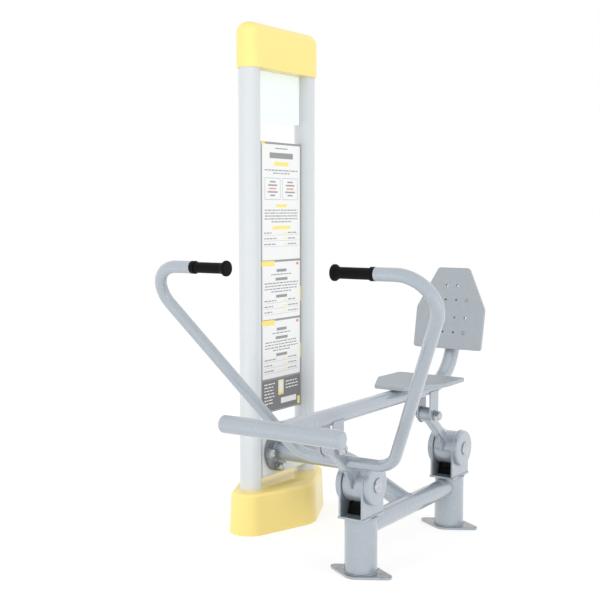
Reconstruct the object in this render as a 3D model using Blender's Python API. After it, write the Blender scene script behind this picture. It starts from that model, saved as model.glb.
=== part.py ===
"""Outdoor rowing machine: a pylon with an information board and one rowing unit bolted to its side.

Metres, +Z up. The origin is on the ground under the pylon. The unit lies towards +X of it and its rider
faces -Y. The handlebar turns on the front axle, and its rocker and the rear one lift the seat between them.
Widths of the unit are measured from its own middle plane, and left means -X.
"""

import math

import bmesh
import bpy
from mathutils import Matrix, Vector

# Clearances
GAP = 0.0003  # between pieces that touch or turn on each other
OVERRUN = 0.01  # how far a cutter runs past what it cuts

# Facets
FINE = 28  # sides of the widest rounds
ROUND = 20  # sides of posts, bosses and tubes
SMALL = 12  # sides of handles, pins and bores
CORNER_STEPS = 4  # facets in a plate's rounded corner
BEND_TURN = math.radians(15)  # largest turn between two rings of a bent tube

# Pylon
PYLON_HEIGHT = 2.060
POST_SPACING = 0.401
PYLON_TUBE_R = 0.04445
PYLON_TUBE_WALL = 0.0036
CAP_HEIGHT = 0.182
CAP_WIDTH = 0.104
CAP_LENGTH = 0.499
CAP_PLAN_R = 0.050
CAP_TOP_R = 0.046
CAP_WALL = 0.003
CAP_GRIP = 0.09  # how far the posts reach up into the cap
HEADER_HEIGHT = 0.205
HEADER_THICKNESS = 0.004
HEADER_GAP = 0.081  # open gap between header panel and board
BOARD_GAP = 0.061  # between the board and the mount plates
BOARD_THICKNESS = 0.020
COVER_HEIGHT = 0.168
COVER_END_X = 0.016  # from the pylon's middle plane to the centre of a rounded end
COVER_END_Y = 0.228
COVER_END_R = 0.083
COVER_SIDE_X = 0.030  # to the centre of a side's bulge
COVER_SIDE_R = 0.140
COVER_SIDE_STEPS = 6
COVER_END_STEPS = 9
COVER_DRAFT = 0.006
COVER_EDGE_R = 0.015
COVER_WALL = 0.004
PYLON_PLATE_HALF_X = 0.056
PYLON_PLATE_HALF_Y = 0.262
PLATE_CORNER_R = 0.015
ANCHOR_HALF_X = 0.038
ANCHOR_HALF_Y = 0.105
ANCHOR_HOLE_R = 0.009
MOUNT_PLATE_INSET = 0.018  # from the pylon's middle plane to the plate's inner face
MOUNT_PLATE_THICKNESS = 0.012
MOUNT_PLATE_BOTTOM = 0.205
MOUNT_PLATE_HEIGHT = 0.200

# Beam from the pylon to the unit
UNIT_X = 0.659  # from the pylon's middle to the unit's middle plane
BEAM_Y = -0.062
BEAM_R = 0.03805
BEAM_WALL = 0.0036
BEAM_Z = 0.308
BEAM_LEVEL_REACH = 0.381  # from the pylon's middle to the beam's corner
BEAM_BEND_R = 0.150
FLANGE_R = 0.085
FLANGE_THICKNESS = 0.012
BOLT_CIRCLE_R = 0.0675

# Fasteners: half of the width across flats, shank radius, heights
SMALL_SHANK_R = 0.012
SMALL_FLATS_HALF = 0.018
SMALL_HEAD = 0.015
LARGE_SHANK_R = 0.015
LARGE_FLATS_HALF = 0.023
LARGE_HEAD = 0.0187
FLANGE_NUT_HEX = 0.018
FLANGE_NUT_DOME = 0.012
PIN_NUT_HEX = 0.022
PIN_NUT_DOME = 0.010
AXLE_NUT_HEX = 0.012
AXLE_NUT_DOME = 0.012
DOME_SHARE = 0.96  # a nut's dome radius as a share of half its width across flats
THREAD_SHARE = 0.75  # how much of a nut's hexagon its bolt fills

# Stand
LOWER_TUBE_Z = 0.170
LOWER_TUBE_WALL = 0.0036
POST_R = 0.060
POST_WALL = 0.004
FOOT_THICKNESS = 0.010
FOOT_HALF_X = 0.1455
FOOT_HALF_Y = 0.086
FOOT_TIP_R = 0.020
FOOT_SIDE_R = 0.050
YOKE_WIDTH = 0.110
YOKE_DEPTH = 0.150
YOKE_PLATE = 0.008
YOKE_SIDE_OUT = 0.050  # from the middle plane to a side plate's outer face
YOKE_Z = 0.2125  # underside of the yoke's bottom plate
AXLE_Z = 0.333
DISC_R = 0.073
DISC_THICKNESS = 0.018
DISC_EDGE_R = 0.009

# Rockers
FRONT_Y = -0.426
ROCKER_SPACING = 0.724
ARM = 0.264  # from axle to pin
LEAN = math.radians(50.7)  # forward lean of the arms at rest
SWING = math.radians(45)  # how far they come back from there
HUB_R = 0.068
HUB_HALF = 0.041
ARM_BAR = 0.036
ARM_BAR_SHIFT = -0.0035  # the bar's middle, behind the line from axle to pin
BARREL_R = 0.030
GUSSET_THICKNESS = 0.008
GUSSET_TOP = 0.130  # along the arm
GUSSET_FOOT = 0.053
GUSSET_DEPTH = 0.051
BUSH_WALL = 0.005
STOP_ANGLE = math.radians(18)  # between a lug on its stop and straight down
LUG_HALF = 0.008
LUG_REACH = 0.086
LUG_WIDTH = 0.036
STOP_CLEARANCE = 0.003  # under the hub

# Handlebar
HANDLE_R = 0.0212
HANDLE_WALL = 0.003
HANDLE_ON_ARM = 0.1544
HANDLE_BEHIND_ARM = 0.007
HANDLE_RAKE = math.radians(30.4)
HANDLE_DROP = 0.796  # from the grips' line down to the part that crosses the arm
HANDLE_TOP_HALF = 0.5924
HANDLE_LOW_HALF = 0.1887
HANDLE_TOP_R = 0.1076
HANDLE_LOW_R = 0.109
HANDLE_RETURN = 0.2419  # from the outermost line in to the tube's end
SPIGOT_R = 0.014
SPIGOT_WALL = 0.003
SPIGOT_LENGTH = 0.130
GRIP_LENGTH = 0.1495
GRIP_R = 0.018
GRIP_FLANGE_R = 0.026
GRIP_FLANGE = 0.010
GRIP_FLARE = 0.012  # length over which the flange runs down to the body
GRIP_COLLAR = 0.017
GRIP_COLLAR_R = 0.0216
GRIP_EDGE_R = 0.005

# Carriage
FRAME_R = 0.03015
FRAME_WALL = 0.0032
FRAME_RISE = 0.108  # seat beam above the pins
FOOT_BAR_REACH = 0.3055  # in front of the front pin
FOOT_BAR_HALF = 0.229
END_CAP_THICKNESS = 0.005
END_CAP_PLUG = 0.020
BACK_REACH = 0.917  # from the front pin to the corner under the backrest
BACK_TILT = math.radians(11.2)
BACK_LENGTH = 0.374
BACK_BEND_R = 0.200
EAR_IN = 0.0241  # from the middle plane to an ear's inner face
EAR_OUT = 0.0304
EAR_R = 0.0345
EAR_DROP = 0.012  # the ears end this far below the seat beam's axis
PANEL_THICKNESS = 0.015
PANEL_CORNER_R = 0.013
PANEL_WIDE_R = 0.030
SEAT_BEHIND = 0.161  # from the seat's rear edge to the corner under the backrest
SEAT_LENGTH = 0.346
SEAT_NOSE = 0.177  # from the seat's front edge to its widest place
SEAT_FRONT_HALF = 0.065
SEAT_WIDE_HALF = 0.1504
SEAT_REAR_HALF = 0.1465
SEAT_PLATE_THICKNESS = 0.003
SEAT_PLATE_HALF_X = 0.070
SEAT_PLATE_MARGIN = 0.070  # the plate ends this far inside the seat's front and rear edges
BACKREST_LOW = 0.131  # up the back tube from the corner
BACKREST_WIDE = 0.299
BACKREST_TOP = 0.465
BACKREST_LOW_HALF = 0.150
BACKREST_WIDE_HALF = 0.1512
BACKREST_TOP_HALF = 0.0678
HOLE_R = 0.004
HOLE_INNER = 0.0235
HOLE_OUTER = 0.0705
HOLE_ROWS = (0.199, 0.260, 0.332)
HOLE_TOP_ROW = 0.391
CHANNEL_DEPTH = 0.0137
CHANNEL_HEIGHT = 0.034
CHANNEL_HALF = 0.100
CHANNEL_WALL = 0.003
TUBE_CAP_THICKNESS = 0.012

# Worked out from the above
HALF_POSTS = POST_SPACING / 2
HANDLE_END = HANDLE_TOP_HALF - HANDLE_RETURN
CAP_BOTTOM = PYLON_HEIGHT - CAP_HEIGHT
HEADER_BOTTOM = CAP_BOTTOM - HEADER_HEIGHT
BOARD_TOP = HEADER_BOTTOM - HEADER_GAP
BOARD_BOTTOM = MOUNT_PLATE_BOTTOM + MOUNT_PLATE_HEIGHT + BOARD_GAP
PANEL_HALF_Y = HALF_POSTS - PYLON_TUBE_R - GAP
FLANGE_X = MOUNT_PLATE_INSET + MOUNT_PLATE_THICKNESS + GAP
YOKE_SIDE_IN = YOKE_SIDE_OUT - YOKE_PLATE
DISC_IN = YOKE_SIDE_OUT + GAP
DISC_OUT = DISC_IN + DISC_THICKNESS
PIN_FORWARD = ARM * math.sin(LEAN)
PIN_RISE = ARM * math.cos(LEAN)
BARREL_HALF = EAR_IN - GAP
HUB_BUSH_R = LARGE_SHANK_R + GAP + BUSH_WALL
PIN_BUSH_R = SMALL_SHANK_R + GAP + BUSH_WALL
SEAT_REAR = BACK_REACH - SEAT_BEHIND  # from the front pin
SEAT_FRONT = SEAT_REAR - SEAT_LENGTH
SEAT_WIDE = SEAT_FRONT + SEAT_NOSE
SEAT_PLATE_Z = FRAME_RISE + FRAME_R + GAP
SEAT_Z = SEAT_PLATE_Z + SEAT_PLATE_THICKNESS + GAP
CHANNEL_FRONT = FRAME_R + GAP + CHANNEL_DEPTH  # from the back tube's axis to the channels' front face


# Outlines: lists of points in a plane


def circle(radius, sides, centre=(0, 0), start=0):
    """Points round a circle."""
    turns = [start + math.tau * i / sides for i in range(sides)]
    return [(centre[0] + radius * math.cos(a), centre[1] + radius * math.sin(a)) for a in turns]


def rectangle(low, high):
    """The four corners of a rectangle."""
    return [low, (high[0], low[1]), high, (low[0], high[1])]


def hexagon(flats_half):
    """A nut's outline."""
    return circle(flats_half / math.cos(math.pi / 6), 6)


def arc_at(before, corner, after, radius, steps):
    """Points of the arc that rounds a corner."""
    before, corner, after = Vector(before), Vector(corner), Vector(after)
    back = (before - corner).normalized()
    ahead = (after - corner).normalized()
    half = back.angle(ahead) / 2
    centre = corner + (back + ahead).normalized() * radius / math.sin(half)
    first = corner + back * radius / math.tan(half) - centre
    turn = -first.angle_signed(corner + ahead * radius / math.tan(half) - centre)
    return [tuple(centre + Matrix.Rotation(turn * i / steps, 2) @ first) for i in range(steps + 1)]


def rounded(points, radii):
    """A closed outline with its corners rounded."""
    made = []
    for i, corner in enumerate(points):
        made += arc_at(points[i - 1], corner, points[(i + 1) % len(points)], radii[i], CORNER_STEPS)
    return made


def bent(points, radii):
    """An open path with its inner corners bent."""
    made = [points[0]]
    for before, corner, after, radius in zip(points, points[1:], points[2:], radii):
        turn = math.pi - (Vector(before) - Vector(corner)).angle(Vector(after) - Vector(corner))
        made += arc_at(before, corner, after, radius, math.ceil(turn / BEND_TURN))
    return made + [points[-1]]


def belt(wheels, steps):
    """The outline of a belt run anticlockwise round wheels, each (centre, radius)."""
    leaving = []
    for (start, start_r), (end, end_r) in zip(wheels, wheels[1:] + wheels[:1]):
        along = Vector(end) - Vector(start)
        leaving.append(math.atan2(along.y, along.x) - math.acos((start_r - end_r) / along.length))
    made = []
    for i, ((x, y), radius) in enumerate(wheels):
        turn = (leaving[i] - leaving[i - 1]) % math.tau
        angles = [leaving[i - 1] + turn * j / steps[i] for j in range(steps[i] + 1)]
        made += [(x + radius * math.cos(a), y + radius * math.sin(a)) for a in angles]
    return made


# Solids: closed meshes


def finished(bm):
    """The bmesh as a mesh, facing out, smooth where it is round."""
    bmesh.ops.recalc_face_normals(bm, faces=bm.faces)
    mesh = bpy.data.meshes.new("solid")
    bm.to_mesh(mesh)
    bm.free()
    return smoothed(mesh)


def smoothed(mesh):
    mesh.shade_smooth()
    mesh.set_sharp_from_angle(angle=math.radians(30))
    return mesh


def on_axis(axis, flat, along):
    """A point from its place in an outline's plane and its distance along the axis across it."""
    a, b = flat
    return {"X": (along, a, b), "Y": (a, along, b), "Z": (a, b, along)}[axis]


def prism(outline, low, high, axis):
    """An outline drawn out along an axis. Its points are in the other two axes."""
    bm = bmesh.new()
    face = bm.faces.new([bm.verts.new(on_axis(axis, point, low)) for point in outline])
    drawn = bmesh.ops.extrude_face_region(bm, geom=[face])["geom"]
    moved = [item for item in drawn if isinstance(item, bmesh.types.BMVert)]
    bmesh.ops.translate(bm, verts=moved, vec=on_axis(axis, (0, 0), high - low))
    return finished(bm)


def bridge(bm, first, second):
    """Faces between two rings. A ring of one vertex is a point."""
    for i in range(max(len(first), len(second))):
        j = i + 1
        corners = (first[i % len(first)], first[j % len(first)], second[j % len(second)], second[i % len(second)])
        bm.faces.new(dict.fromkeys(corners))


def turned(profile, sides, closed=True):
    """A profile of (along X, radius) turned about X. An open one starts and ends on the axis."""
    bm = bmesh.new()
    rings = []
    for along, radius in profile:
        ring = circle(radius, sides) if radius else [(0, 0)]
        rings.append([bm.verts.new(on_axis("X", point, along)) for point in ring])
    for first, second in zip(rings, rings[1:]):
        bridge(bm, first, second)
    if closed:
        bridge(bm, rings[-1], rings[0])
    return finished(bm)


def hood(ring, shrink, low, high, edge_r, draft=0):
    """A block under a plan, ring(how far in), with its sides leaning in and its top edge rounded."""
    bm = bmesh.new()
    top, edge_r = high - shrink, edge_r - shrink
    levels = [(shrink, low)]
    for i in range(CORNER_STEPS + 1):
        turn = math.pi / 2 * i / CORNER_STEPS
        levels.append((draft + shrink + edge_r * (1 - math.cos(turn)), top - edge_r * (1 - math.sin(turn))))
    rings = [[bm.verts.new((x, y, z)) for x, y in ring(distance)] for distance, z in levels]
    for first, second in zip(rings, rings[1:]):
        bridge(bm, first, second)
    bm.faces.new(rings[0])
    bm.faces.new(rings[-1])
    return finished(bm)


def pipe(radius, wall, low, high, axis, sides=ROUND):
    """A straight tube, open at both ends."""
    bm = bmesh.new()
    rings = []
    for size, along in ((radius, low), (radius, high), (radius - wall, high), (radius - wall, low)):
        rings.append([bm.verts.new(on_axis(axis, point, along)) for point in circle(size, sides)])
    for i, ring in enumerate(rings):
        bridge(bm, rings[i - 1], ring)
    return finished(bm)


def skin(bm, stations, across, sides):
    """Rings of vertices round a path in the plane square to across, joined into a skin."""
    points = [point for point, _ in stations]
    rings = []
    for i, (point, radius) in enumerate(stations):
        before = next((point - p for p in reversed(points[:i]) if p != point), None)
        after = next((p - point for p in points[i + 1 :] if p != point), None)
        back = (before or after).normalized()
        ahead = (after or before).normalized()
        side = across.cross(back + ahead).normalized()
        stretch = 1 / math.cos(back.angle(ahead) / 2)
        ring = circle(radius, sides)
        rings.append([bm.verts.new(point + across * a + side * b * stretch) for a, b in ring])
    for first, second in zip(rings, rings[1:]):
        bridge(bm, first, second)
    return rings


def bent_tube(outer, inner, across, sides):
    """A tube from the stations, (point, radius), of its outside and of its bore."""
    bm = bmesh.new()
    across = Vector(across)
    outside = skin(bm, outer, across, sides)
    bore = skin(bm, inner, across, sides)
    bridge(bm, outside[0], bore[0])
    bridge(bm, outside[-1], bore[-1])
    return finished(bm)


def plain_tube(path, radius, wall, across, sides=ROUND):
    """A bent tube of one size."""
    points = [Vector(point) for point in path]
    return bent_tube([(p, radius) for p in points], [(p, radius - wall) for p in points], across, sides)


def fused(base, adds=(), cuts=()):
    """A mesh with others added to it or cut from it."""
    holder = bpy.data.objects.new("base", base)
    helpers = [holder]
    bpy.context.collection.objects.link(holder)
    for operation, meshes in (("UNION", adds), ("DIFFERENCE", cuts)):
        for mesh in meshes:
            helper = bpy.data.objects.new("helper", mesh)
            bpy.context.collection.objects.link(helper)
            modifier = holder.modifiers.new(operation, "BOOLEAN")
            modifier.operation = operation
            modifier.object = helper
            helpers.append(helper)
    graph = bpy.context.evaluated_depsgraph_get()
    graph.update()
    made = bpy.data.meshes.new_from_object(holder.evaluated_get(graph))
    for helper in helpers:
        bpy.data.objects.remove(helper)
    return smoothed(made)


def moved(mesh, matrix):
    """The mesh, moved or turned."""
    mesh.transform(matrix)
    return mesh


# Objects


def material(name, red, green, blue, roughness, metallic=0.0):
    """A Principled material from its colour on screen, 0 to 255."""
    made = bpy.data.materials.new(name)
    made.use_nodes = True
    shader = made.node_tree.nodes["Principled BSDF"]
    linear = [((c / 255 + 0.055) / 1.055) ** 2.4 for c in (red, green, blue)]
    shader.inputs["Base Color"].default_value = (*linear, 1)
    shader.inputs["Roughness"].default_value = roughness
    shader.inputs["Metallic"].default_value = metallic
    return made


def carrier(name, at, parent=None):
    """An empty that carries pieces."""
    made = bpy.data.objects.new(name, None)
    bpy.context.collection.objects.link(made)
    made.parent = parent
    made.location = at
    return made


def piece(name, mesh, look, parent, at=(0, 0, 0), turn=(0, 0, 0)):
    """One sub-part, placed under its carrier."""
    made = bpy.data.objects.new(name, mesh)
    bpy.context.collection.objects.link(made)
    if not mesh.materials:
        mesh.materials.append(look)
    made.parent = parent
    made.location = at
    made.rotation_euler = turn
    return made


TURNED_ROUND = (0, 0, math.pi)  # a right-hand piece, turned to face left


# Fasteners


def domed_nut(flats_half, hex_height, dome_height, shank_r):
    """A cap nut on the X axis with its face at zero and a blind bore."""
    dome_r = flats_half * DOME_SHARE
    steps = [math.pi / 2 * i / CORNER_STEPS for i in range(CORNER_STEPS)]
    dome = [(0, 0), (0, dome_r)]
    dome += [(hex_height + dome_height * math.sin(a), dome_r * math.cos(a)) for a in steps]
    dome += [(hex_height + dome_height, 0)]
    body = prism(hexagon(flats_half), 0, hex_height, "X")
    bore = prism(circle(shank_r + GAP, SMALL), -OVERRUN, hex_height * THREAD_SHARE + GAP, "X")
    cap = turned(dome, ROUND, closed=False)
    return fused(body, adds=[cap], cuts=[bore])


def headed_bolt(flats_half, head_height, shank_r, face, tip):
    """A bolt on the X axis, from its head's face to its tip."""
    head = prism(hexagon(flats_half), face - head_height, face, "X")
    shank = prism(circle(shank_r, SMALL), face - head_height / 2, tip, "X")
    return fused(head, adds=[shank])


# Pylon


def pylon_posts(root, paint):
    shape = pipe(PYLON_TUBE_R, PYLON_TUBE_WALL, FOOT_THICKNESS + GAP, CAP_BOTTOM + CAP_GRIP, "Z", FINE)
    piece("pylon_post_front", shape, paint, root, at=(0, -HALF_POSTS, 0))
    piece("pylon_post_rear", shape, paint, root, at=(0, HALF_POSTS, 0))


def post_holes(low, high):
    """Cutters for the two posts' holes."""
    centres = ((0, -HALF_POSTS), (0, HALF_POSTS))
    return [prism(circle(PYLON_TUBE_R + GAP, FINE, centre), low, high, "Z") for centre in centres]


def cap_ring(distance):
    """The cap's plan, moved in."""
    half_x, half_y = CAP_WIDTH / 2 - distance, CAP_LENGTH / 2 - distance
    return rounded(rectangle((-half_x, -half_y), (half_x, half_y)), (CAP_PLAN_R - distance,) * 4)


def pylon_cap(root, yellow):
    block = hood(cap_ring, 0, CAP_BOTTOM, PYLON_HEIGHT, CAP_TOP_R)
    hollow = hood(cap_ring, CAP_WALL, CAP_BOTTOM + CAP_WALL, PYLON_HEIGHT, CAP_TOP_R)
    holes = post_holes(CAP_BOTTOM - OVERRUN, CAP_BOTTOM + CAP_WALL + OVERRUN)
    piece("pylon_cap", fused(block, cuts=[hollow, *holes]), yellow, root)


def pylon_panels(root, header_paint, board_paint):
    half = HEADER_THICKNESS / 2
    outline = rectangle((-PANEL_HALF_Y, HEADER_BOTTOM), (PANEL_HALF_Y, CAP_BOTTOM - GAP))
    piece("header_panel", prism(outline, -half, half, "X"), header_paint, root)
    half = BOARD_THICKNESS / 2
    outline = rectangle((-PANEL_HALF_Y, BOARD_BOTTOM), (PANEL_HALF_Y, BOARD_TOP))
    piece("info_board", prism(outline, -half, half, "X"), board_paint, root)


def cover_ring(distance):
    """The base cover's plan, moved in: the same seen from either side of the pylon."""
    side_r, end_r = COVER_SIDE_R - distance, COVER_END_R - distance
    half = [((COVER_SIDE_X, 0), side_r), ((-COVER_END_X, COVER_END_Y), end_r)]
    half_steps = (COVER_SIDE_STEPS, COVER_END_STEPS)
    return belt(half + [((-x, -y), radius) for (x, y), radius in half], half_steps * 2)


def base_cover(root, yellow):
    block = hood(cover_ring, 0, 0, COVER_HEIGHT, COVER_EDGE_R, COVER_DRAFT)
    hollow = hood(cover_ring, COVER_WALL, -OVERRUN, COVER_HEIGHT, COVER_EDGE_R, COVER_DRAFT)
    holes = post_holes(COVER_HEIGHT - COVER_WALL - OVERRUN, COVER_HEIGHT + OVERRUN)
    piece("base_cover", fused(block, cuts=[hollow, *holes]), yellow, root)


def pylon_foot_plate(root, steel):
    outline = rectangle((-PYLON_PLATE_HALF_X, -PYLON_PLATE_HALF_Y), (PYLON_PLATE_HALF_X, PYLON_PLATE_HALF_Y))
    plate = prism(rounded(outline, (PLATE_CORNER_R,) * 4), 0, FOOT_THICKNESS, "Z")
    centres = rectangle((-ANCHOR_HALF_X, -ANCHOR_HALF_Y), (ANCHOR_HALF_X, ANCHOR_HALF_Y))
    anchors = [prism(circle(ANCHOR_HOLE_R, SMALL, c), -OVERRUN, FOOT_THICKNESS + OVERRUN, "Z") for c in centres]
    piece("pylon_foot_plate", fused(plate, cuts=anchors), steel, root)


def bolt_places():
    """Centres of the flange's four bolts, as (y, z)."""
    return circle(BOLT_CIRCLE_R, 4, (BEAM_Y, BEAM_Z))


def bolt_holes(low, high):
    return [prism(circle(SMALL_SHANK_R + GAP, SMALL, place), low, high, "X") for place in bolt_places()]


def mount_plates(root, paint):
    """Plates welded between the posts, one for each side's unit."""
    inner, outer = MOUNT_PLATE_INSET, MOUNT_PLATE_INSET + MOUNT_PLATE_THICKNESS
    half_y = HALF_POSTS - math.sqrt(PYLON_TUBE_R**2 - inner**2) - GAP
    outline = rectangle((-half_y, MOUNT_PLATE_BOTTOM), (half_y, MOUNT_PLATE_BOTTOM + MOUNT_PLATE_HEIGHT))
    shape = fused(prism(outline, inner, outer, "X"), cuts=bolt_holes(inner - OVERRUN, outer + OVERRUN))
    piece("mount_plate_right", shape, paint, root)
    piece("mount_plate_left", shape, paint, root, turn=TURNED_ROUND)


def beam(root, paint, steel, chrome):
    end = FLANGE_X + FLANGE_THICKNESS
    flange = prism(circle(FLANGE_R, FINE, (BEAM_Y, BEAM_Z)), FLANGE_X, end, "X")
    piece("beam_flange", fused(flange, cuts=bolt_holes(FLANGE_X - OVERRUN, end + OVERRUN)), steel, root)
    line = bent([(end + GAP, BEAM_Z), (BEAM_LEVEL_REACH, BEAM_Z), (UNIT_X, LOWER_TUBE_Z)], (BEAM_BEND_R,))
    tube = plain_tube([(x, 0, z) for x, z in line], BEAM_R, BEAM_WALL, (0, 1, 0))
    saddle = prism(circle(BEAM_R + GAP, FINE, (UNIT_X, LOWER_TUBE_Z)), -POST_R, POST_R, "Y")
    piece("beam", fused(tube, cuts=[saddle]), paint, root, at=(0, BEAM_Y, 0))
    nut = domed_nut(SMALL_FLATS_HALF, FLANGE_NUT_HEX, FLANGE_NUT_DOME, SMALL_SHANK_R)
    grip = MOUNT_PLATE_THICKNESS + GAP + FLANGE_THICKNESS + GAP + GAP
    shank = headed_bolt(SMALL_FLATS_HALF, SMALL_HEAD, SMALL_SHANK_R, 0, grip + FLANGE_NUT_HEX)
    bolt = fused(shank, adds=[moved(nut, Matrix.Translation((grip, 0, 0)))])
    for i, (y, z) in enumerate(bolt_places(), start=1):
        piece(f"flange_bolt_{i}", bolt, chrome, root, at=(MOUNT_PLATE_INSET - GAP, y, z))


# Stand


def foot_plates(stand, paint):
    corners = [(FOOT_HALF_X, 0), (0, FOOT_HALF_Y), (-FOOT_HALF_X, 0), (0, -FOOT_HALF_Y)]
    outline = rounded(corners, (FOOT_TIP_R, FOOT_SIDE_R) * 2)
    shape = prism(outline, 0, FOOT_THICKNESS, "Z")
    piece("front_foot_plate", shape, paint, stand["front"])
    piece("rear_foot_plate", shape, paint, stand["rear"])


def posts(stand, paint):
    shape = pipe(POST_R, POST_WALL, FOOT_THICKNESS + GAP, YOKE_Z - GAP, "Z", FINE)
    piece("front_post", shape, paint, stand["front"])
    piece("rear_post", shape, paint, stand["rear"])


def lower_tube(stand, paint):
    tube = moved(pipe(BEAM_R, LOWER_TUBE_WALL, 0, ROCKER_SPACING, "Y"), Matrix.Translation((0, 0, LOWER_TUBE_Z)))
    ends = [(0, 0), (0, ROCKER_SPACING)]
    saddles = [prism(circle(POST_R + GAP, FINE, end), 0, YOKE_Z, "Z") for end in ends]
    piece("lower_tube", fused(tube, cuts=saddles), paint, stand["front"])


def yokes(stand, paint):
    half_x, half_y = YOKE_WIDTH / 2, YOKE_DEPTH / 2
    bottom = prism(rectangle((-half_x, -half_y), (half_x, half_y)), YOKE_Z, YOKE_Z + YOKE_PLATE, "Z")
    top = [(half_y * math.cos(a), AXLE_Z + half_y * math.sin(a)) for a in half_turn(CORNER_STEPS * 4)]
    side = [(-half_y, YOKE_Z + YOKE_PLATE / 2), (half_y, YOKE_Z + YOKE_PLATE / 2), *top]
    sides = [prism(side, x, x + YOKE_PLATE, "X") for x in (-YOKE_SIDE_OUT, YOKE_SIDE_IN)]
    reach = YOKE_SIDE_OUT + OVERRUN
    bore = prism(circle(LARGE_SHANK_R + GAP, SMALL, (0, AXLE_Z)), -reach, reach, "X")
    shape = fused(bottom, adds=sides, cuts=[bore])
    piece("front_yoke", shape, paint, stand["front"])
    piece("rear_yoke", shape, paint, stand["rear"])


def half_turn(steps):
    return [math.pi * i / steps for i in range(steps + 1)]


def discs(stand, paint):
    edge = [math.pi / 2 * i / CORNER_STEPS for i in range(CORNER_STEPS + 1)]
    profile = [(DISC_IN, LARGE_SHANK_R + GAP), (DISC_IN, DISC_R)]
    profile += [
        (DISC_OUT - DISC_EDGE_R * (1 - math.sin(a)), DISC_R - DISC_EDGE_R * (1 - math.cos(a))) for a in edge
    ]
    profile += [(DISC_OUT, LARGE_SHANK_R + GAP)]
    shape = turned(profile, FINE)
    for where in ("front", "rear"):
        piece(f"{where}_disc_right", shape, paint, stand[where], at=(0, 0, AXLE_Z))
        piece(f"{where}_disc_left", shape, paint, stand[where], at=(0, 0, AXLE_Z), turn=TURNED_ROUND)


def axles(stand, steel, chrome):
    face = DISC_OUT + GAP
    tip = face + AXLE_NUT_HEX * THREAD_SHARE
    axle = headed_bolt(LARGE_FLATS_HALF, LARGE_HEAD, LARGE_SHANK_R, -face, tip)
    nut = domed_nut(LARGE_FLATS_HALF, AXLE_NUT_HEX, AXLE_NUT_DOME, LARGE_SHANK_R)
    for where in ("front", "rear"):
        piece(f"{where}_axle", axle, steel, stand[where], at=(0, 0, AXLE_Z))
        piece(f"{where}_axle_nut", nut, chrome, stand[where], at=(face, 0, AXLE_Z))


def stops(stand, rubber):
    """Rubber wedges under the hubs, between the two lugs of each."""
    offset = LUG_HALF + GAP
    top = AXLE_Z - HUB_R - STOP_CLEARANCE
    bottom = YOKE_Z + YOKE_PLATE + GAP
    sides = []
    for z in (bottom, top):
        drop = AXLE_Z - z
        sides.append((drop * math.tan(STOP_ANGLE) - offset / math.cos(STOP_ANGLE), z))
    (low_half, _), (top_half, _) = sides
    outline = [(-low_half, bottom), (low_half, bottom), (top_half, top), (-top_half, top)]
    shape = prism(outline, -LUG_WIDTH / 2, LUG_WIDTH / 2, "X")
    piece("front_stop", shape, rubber, stand["front"])
    piece("rear_stop", shape, rubber, stand["rear"])


# Rockers, with the arm along +Z before it leans


def lug(angle):
    """A lug on the hub, at an angle from straight down towards the front, once the arm leans."""
    block = prism(rectangle((-LUG_HALF, -LUG_REACH), (LUG_HALF, -HUB_R / 2)), -LUG_WIDTH / 2, LUG_WIDTH / 2, "X")
    return moved(block, Matrix.Rotation(-angle - LEAN, 4, "X"))


def handle_on_arm():
    """Where the handlebar crosses the arm, from the axle, as (y, z) at rest."""
    y = HANDLE_BEHIND_ARM * math.cos(LEAN) - HANDLE_ON_ARM * math.sin(LEAN)
    z = HANDLE_BEHIND_ARM * math.sin(LEAN) + HANDLE_ON_ARM * math.cos(LEAN)
    return y, z


def rocker(notches):
    """A hub, an arm with its gusset, and the barrel for the pin."""
    near, far = ARM_BAR_SHIFT - ARM_BAR / 2, ARM_BAR_SHIFT + ARM_BAR / 2
    hub = prism(circle(HUB_R, FINE), -HUB_HALF, HUB_HALF, "X")
    arm = prism(rectangle((near, HUB_R / 2), (far, ARM)), -ARM_BAR / 2, ARM_BAR / 2, "X")
    barrel = prism(circle(BARREL_R, ROUND, (0, ARM)), -BARREL_HALF, BARREL_HALF, "X")
    brace = [(0, HUB_R / 2), (0, GUSSET_TOP), (near, GUSSET_TOP), (-GUSSET_DEPTH, GUSSET_FOOT)]
    gusset = prism(brace, -GUSSET_THICKNESS / 2, GUSSET_THICKNESS / 2, "X")
    hub_bore = prism(circle(HUB_BUSH_R + GAP, ROUND), -HUB_R, HUB_R, "X")
    pin_bore = prism(circle(PIN_BUSH_R + GAP, ROUND, (0, ARM)), -HUB_R, HUB_R, "X")
    adds = [arm, barrel, gusset, lug(STOP_ANGLE), lug(-STOP_ANGLE - SWING)]
    return fused(hub, adds=adds, cuts=[hub_bore, pin_bore, *notches])


def rockers(hinges, paint, nylon):
    centre = (HANDLE_BEHIND_ARM, HANDLE_ON_ARM)
    saddle = prism(circle(HANDLE_R + GAP, ROUND, centre), -ARM_BAR, ARM_BAR, "X")
    leaning = (LEAN, 0, 0)
    piece("front_rocker", rocker([saddle]), paint, hinges["front"], turn=leaning)
    piece("rear_rocker", rocker([]), paint, hinges["rear"], turn=leaning)
    hub_bush = pipe(HUB_BUSH_R, BUSH_WALL, -HUB_HALF, HUB_HALF, "X")
    pin_bush = pipe(PIN_BUSH_R, BUSH_WALL, -BARREL_HALF, BARREL_HALF, "X")
    for where, hinge in hinges.items():
        piece(f"{where}_hub_bush", hub_bush, nylon, hinge)
        piece(f"{where}_pin_bush", pin_bush, nylon, hinge, at=(0, -PIN_FORWARD, PIN_RISE))


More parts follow.
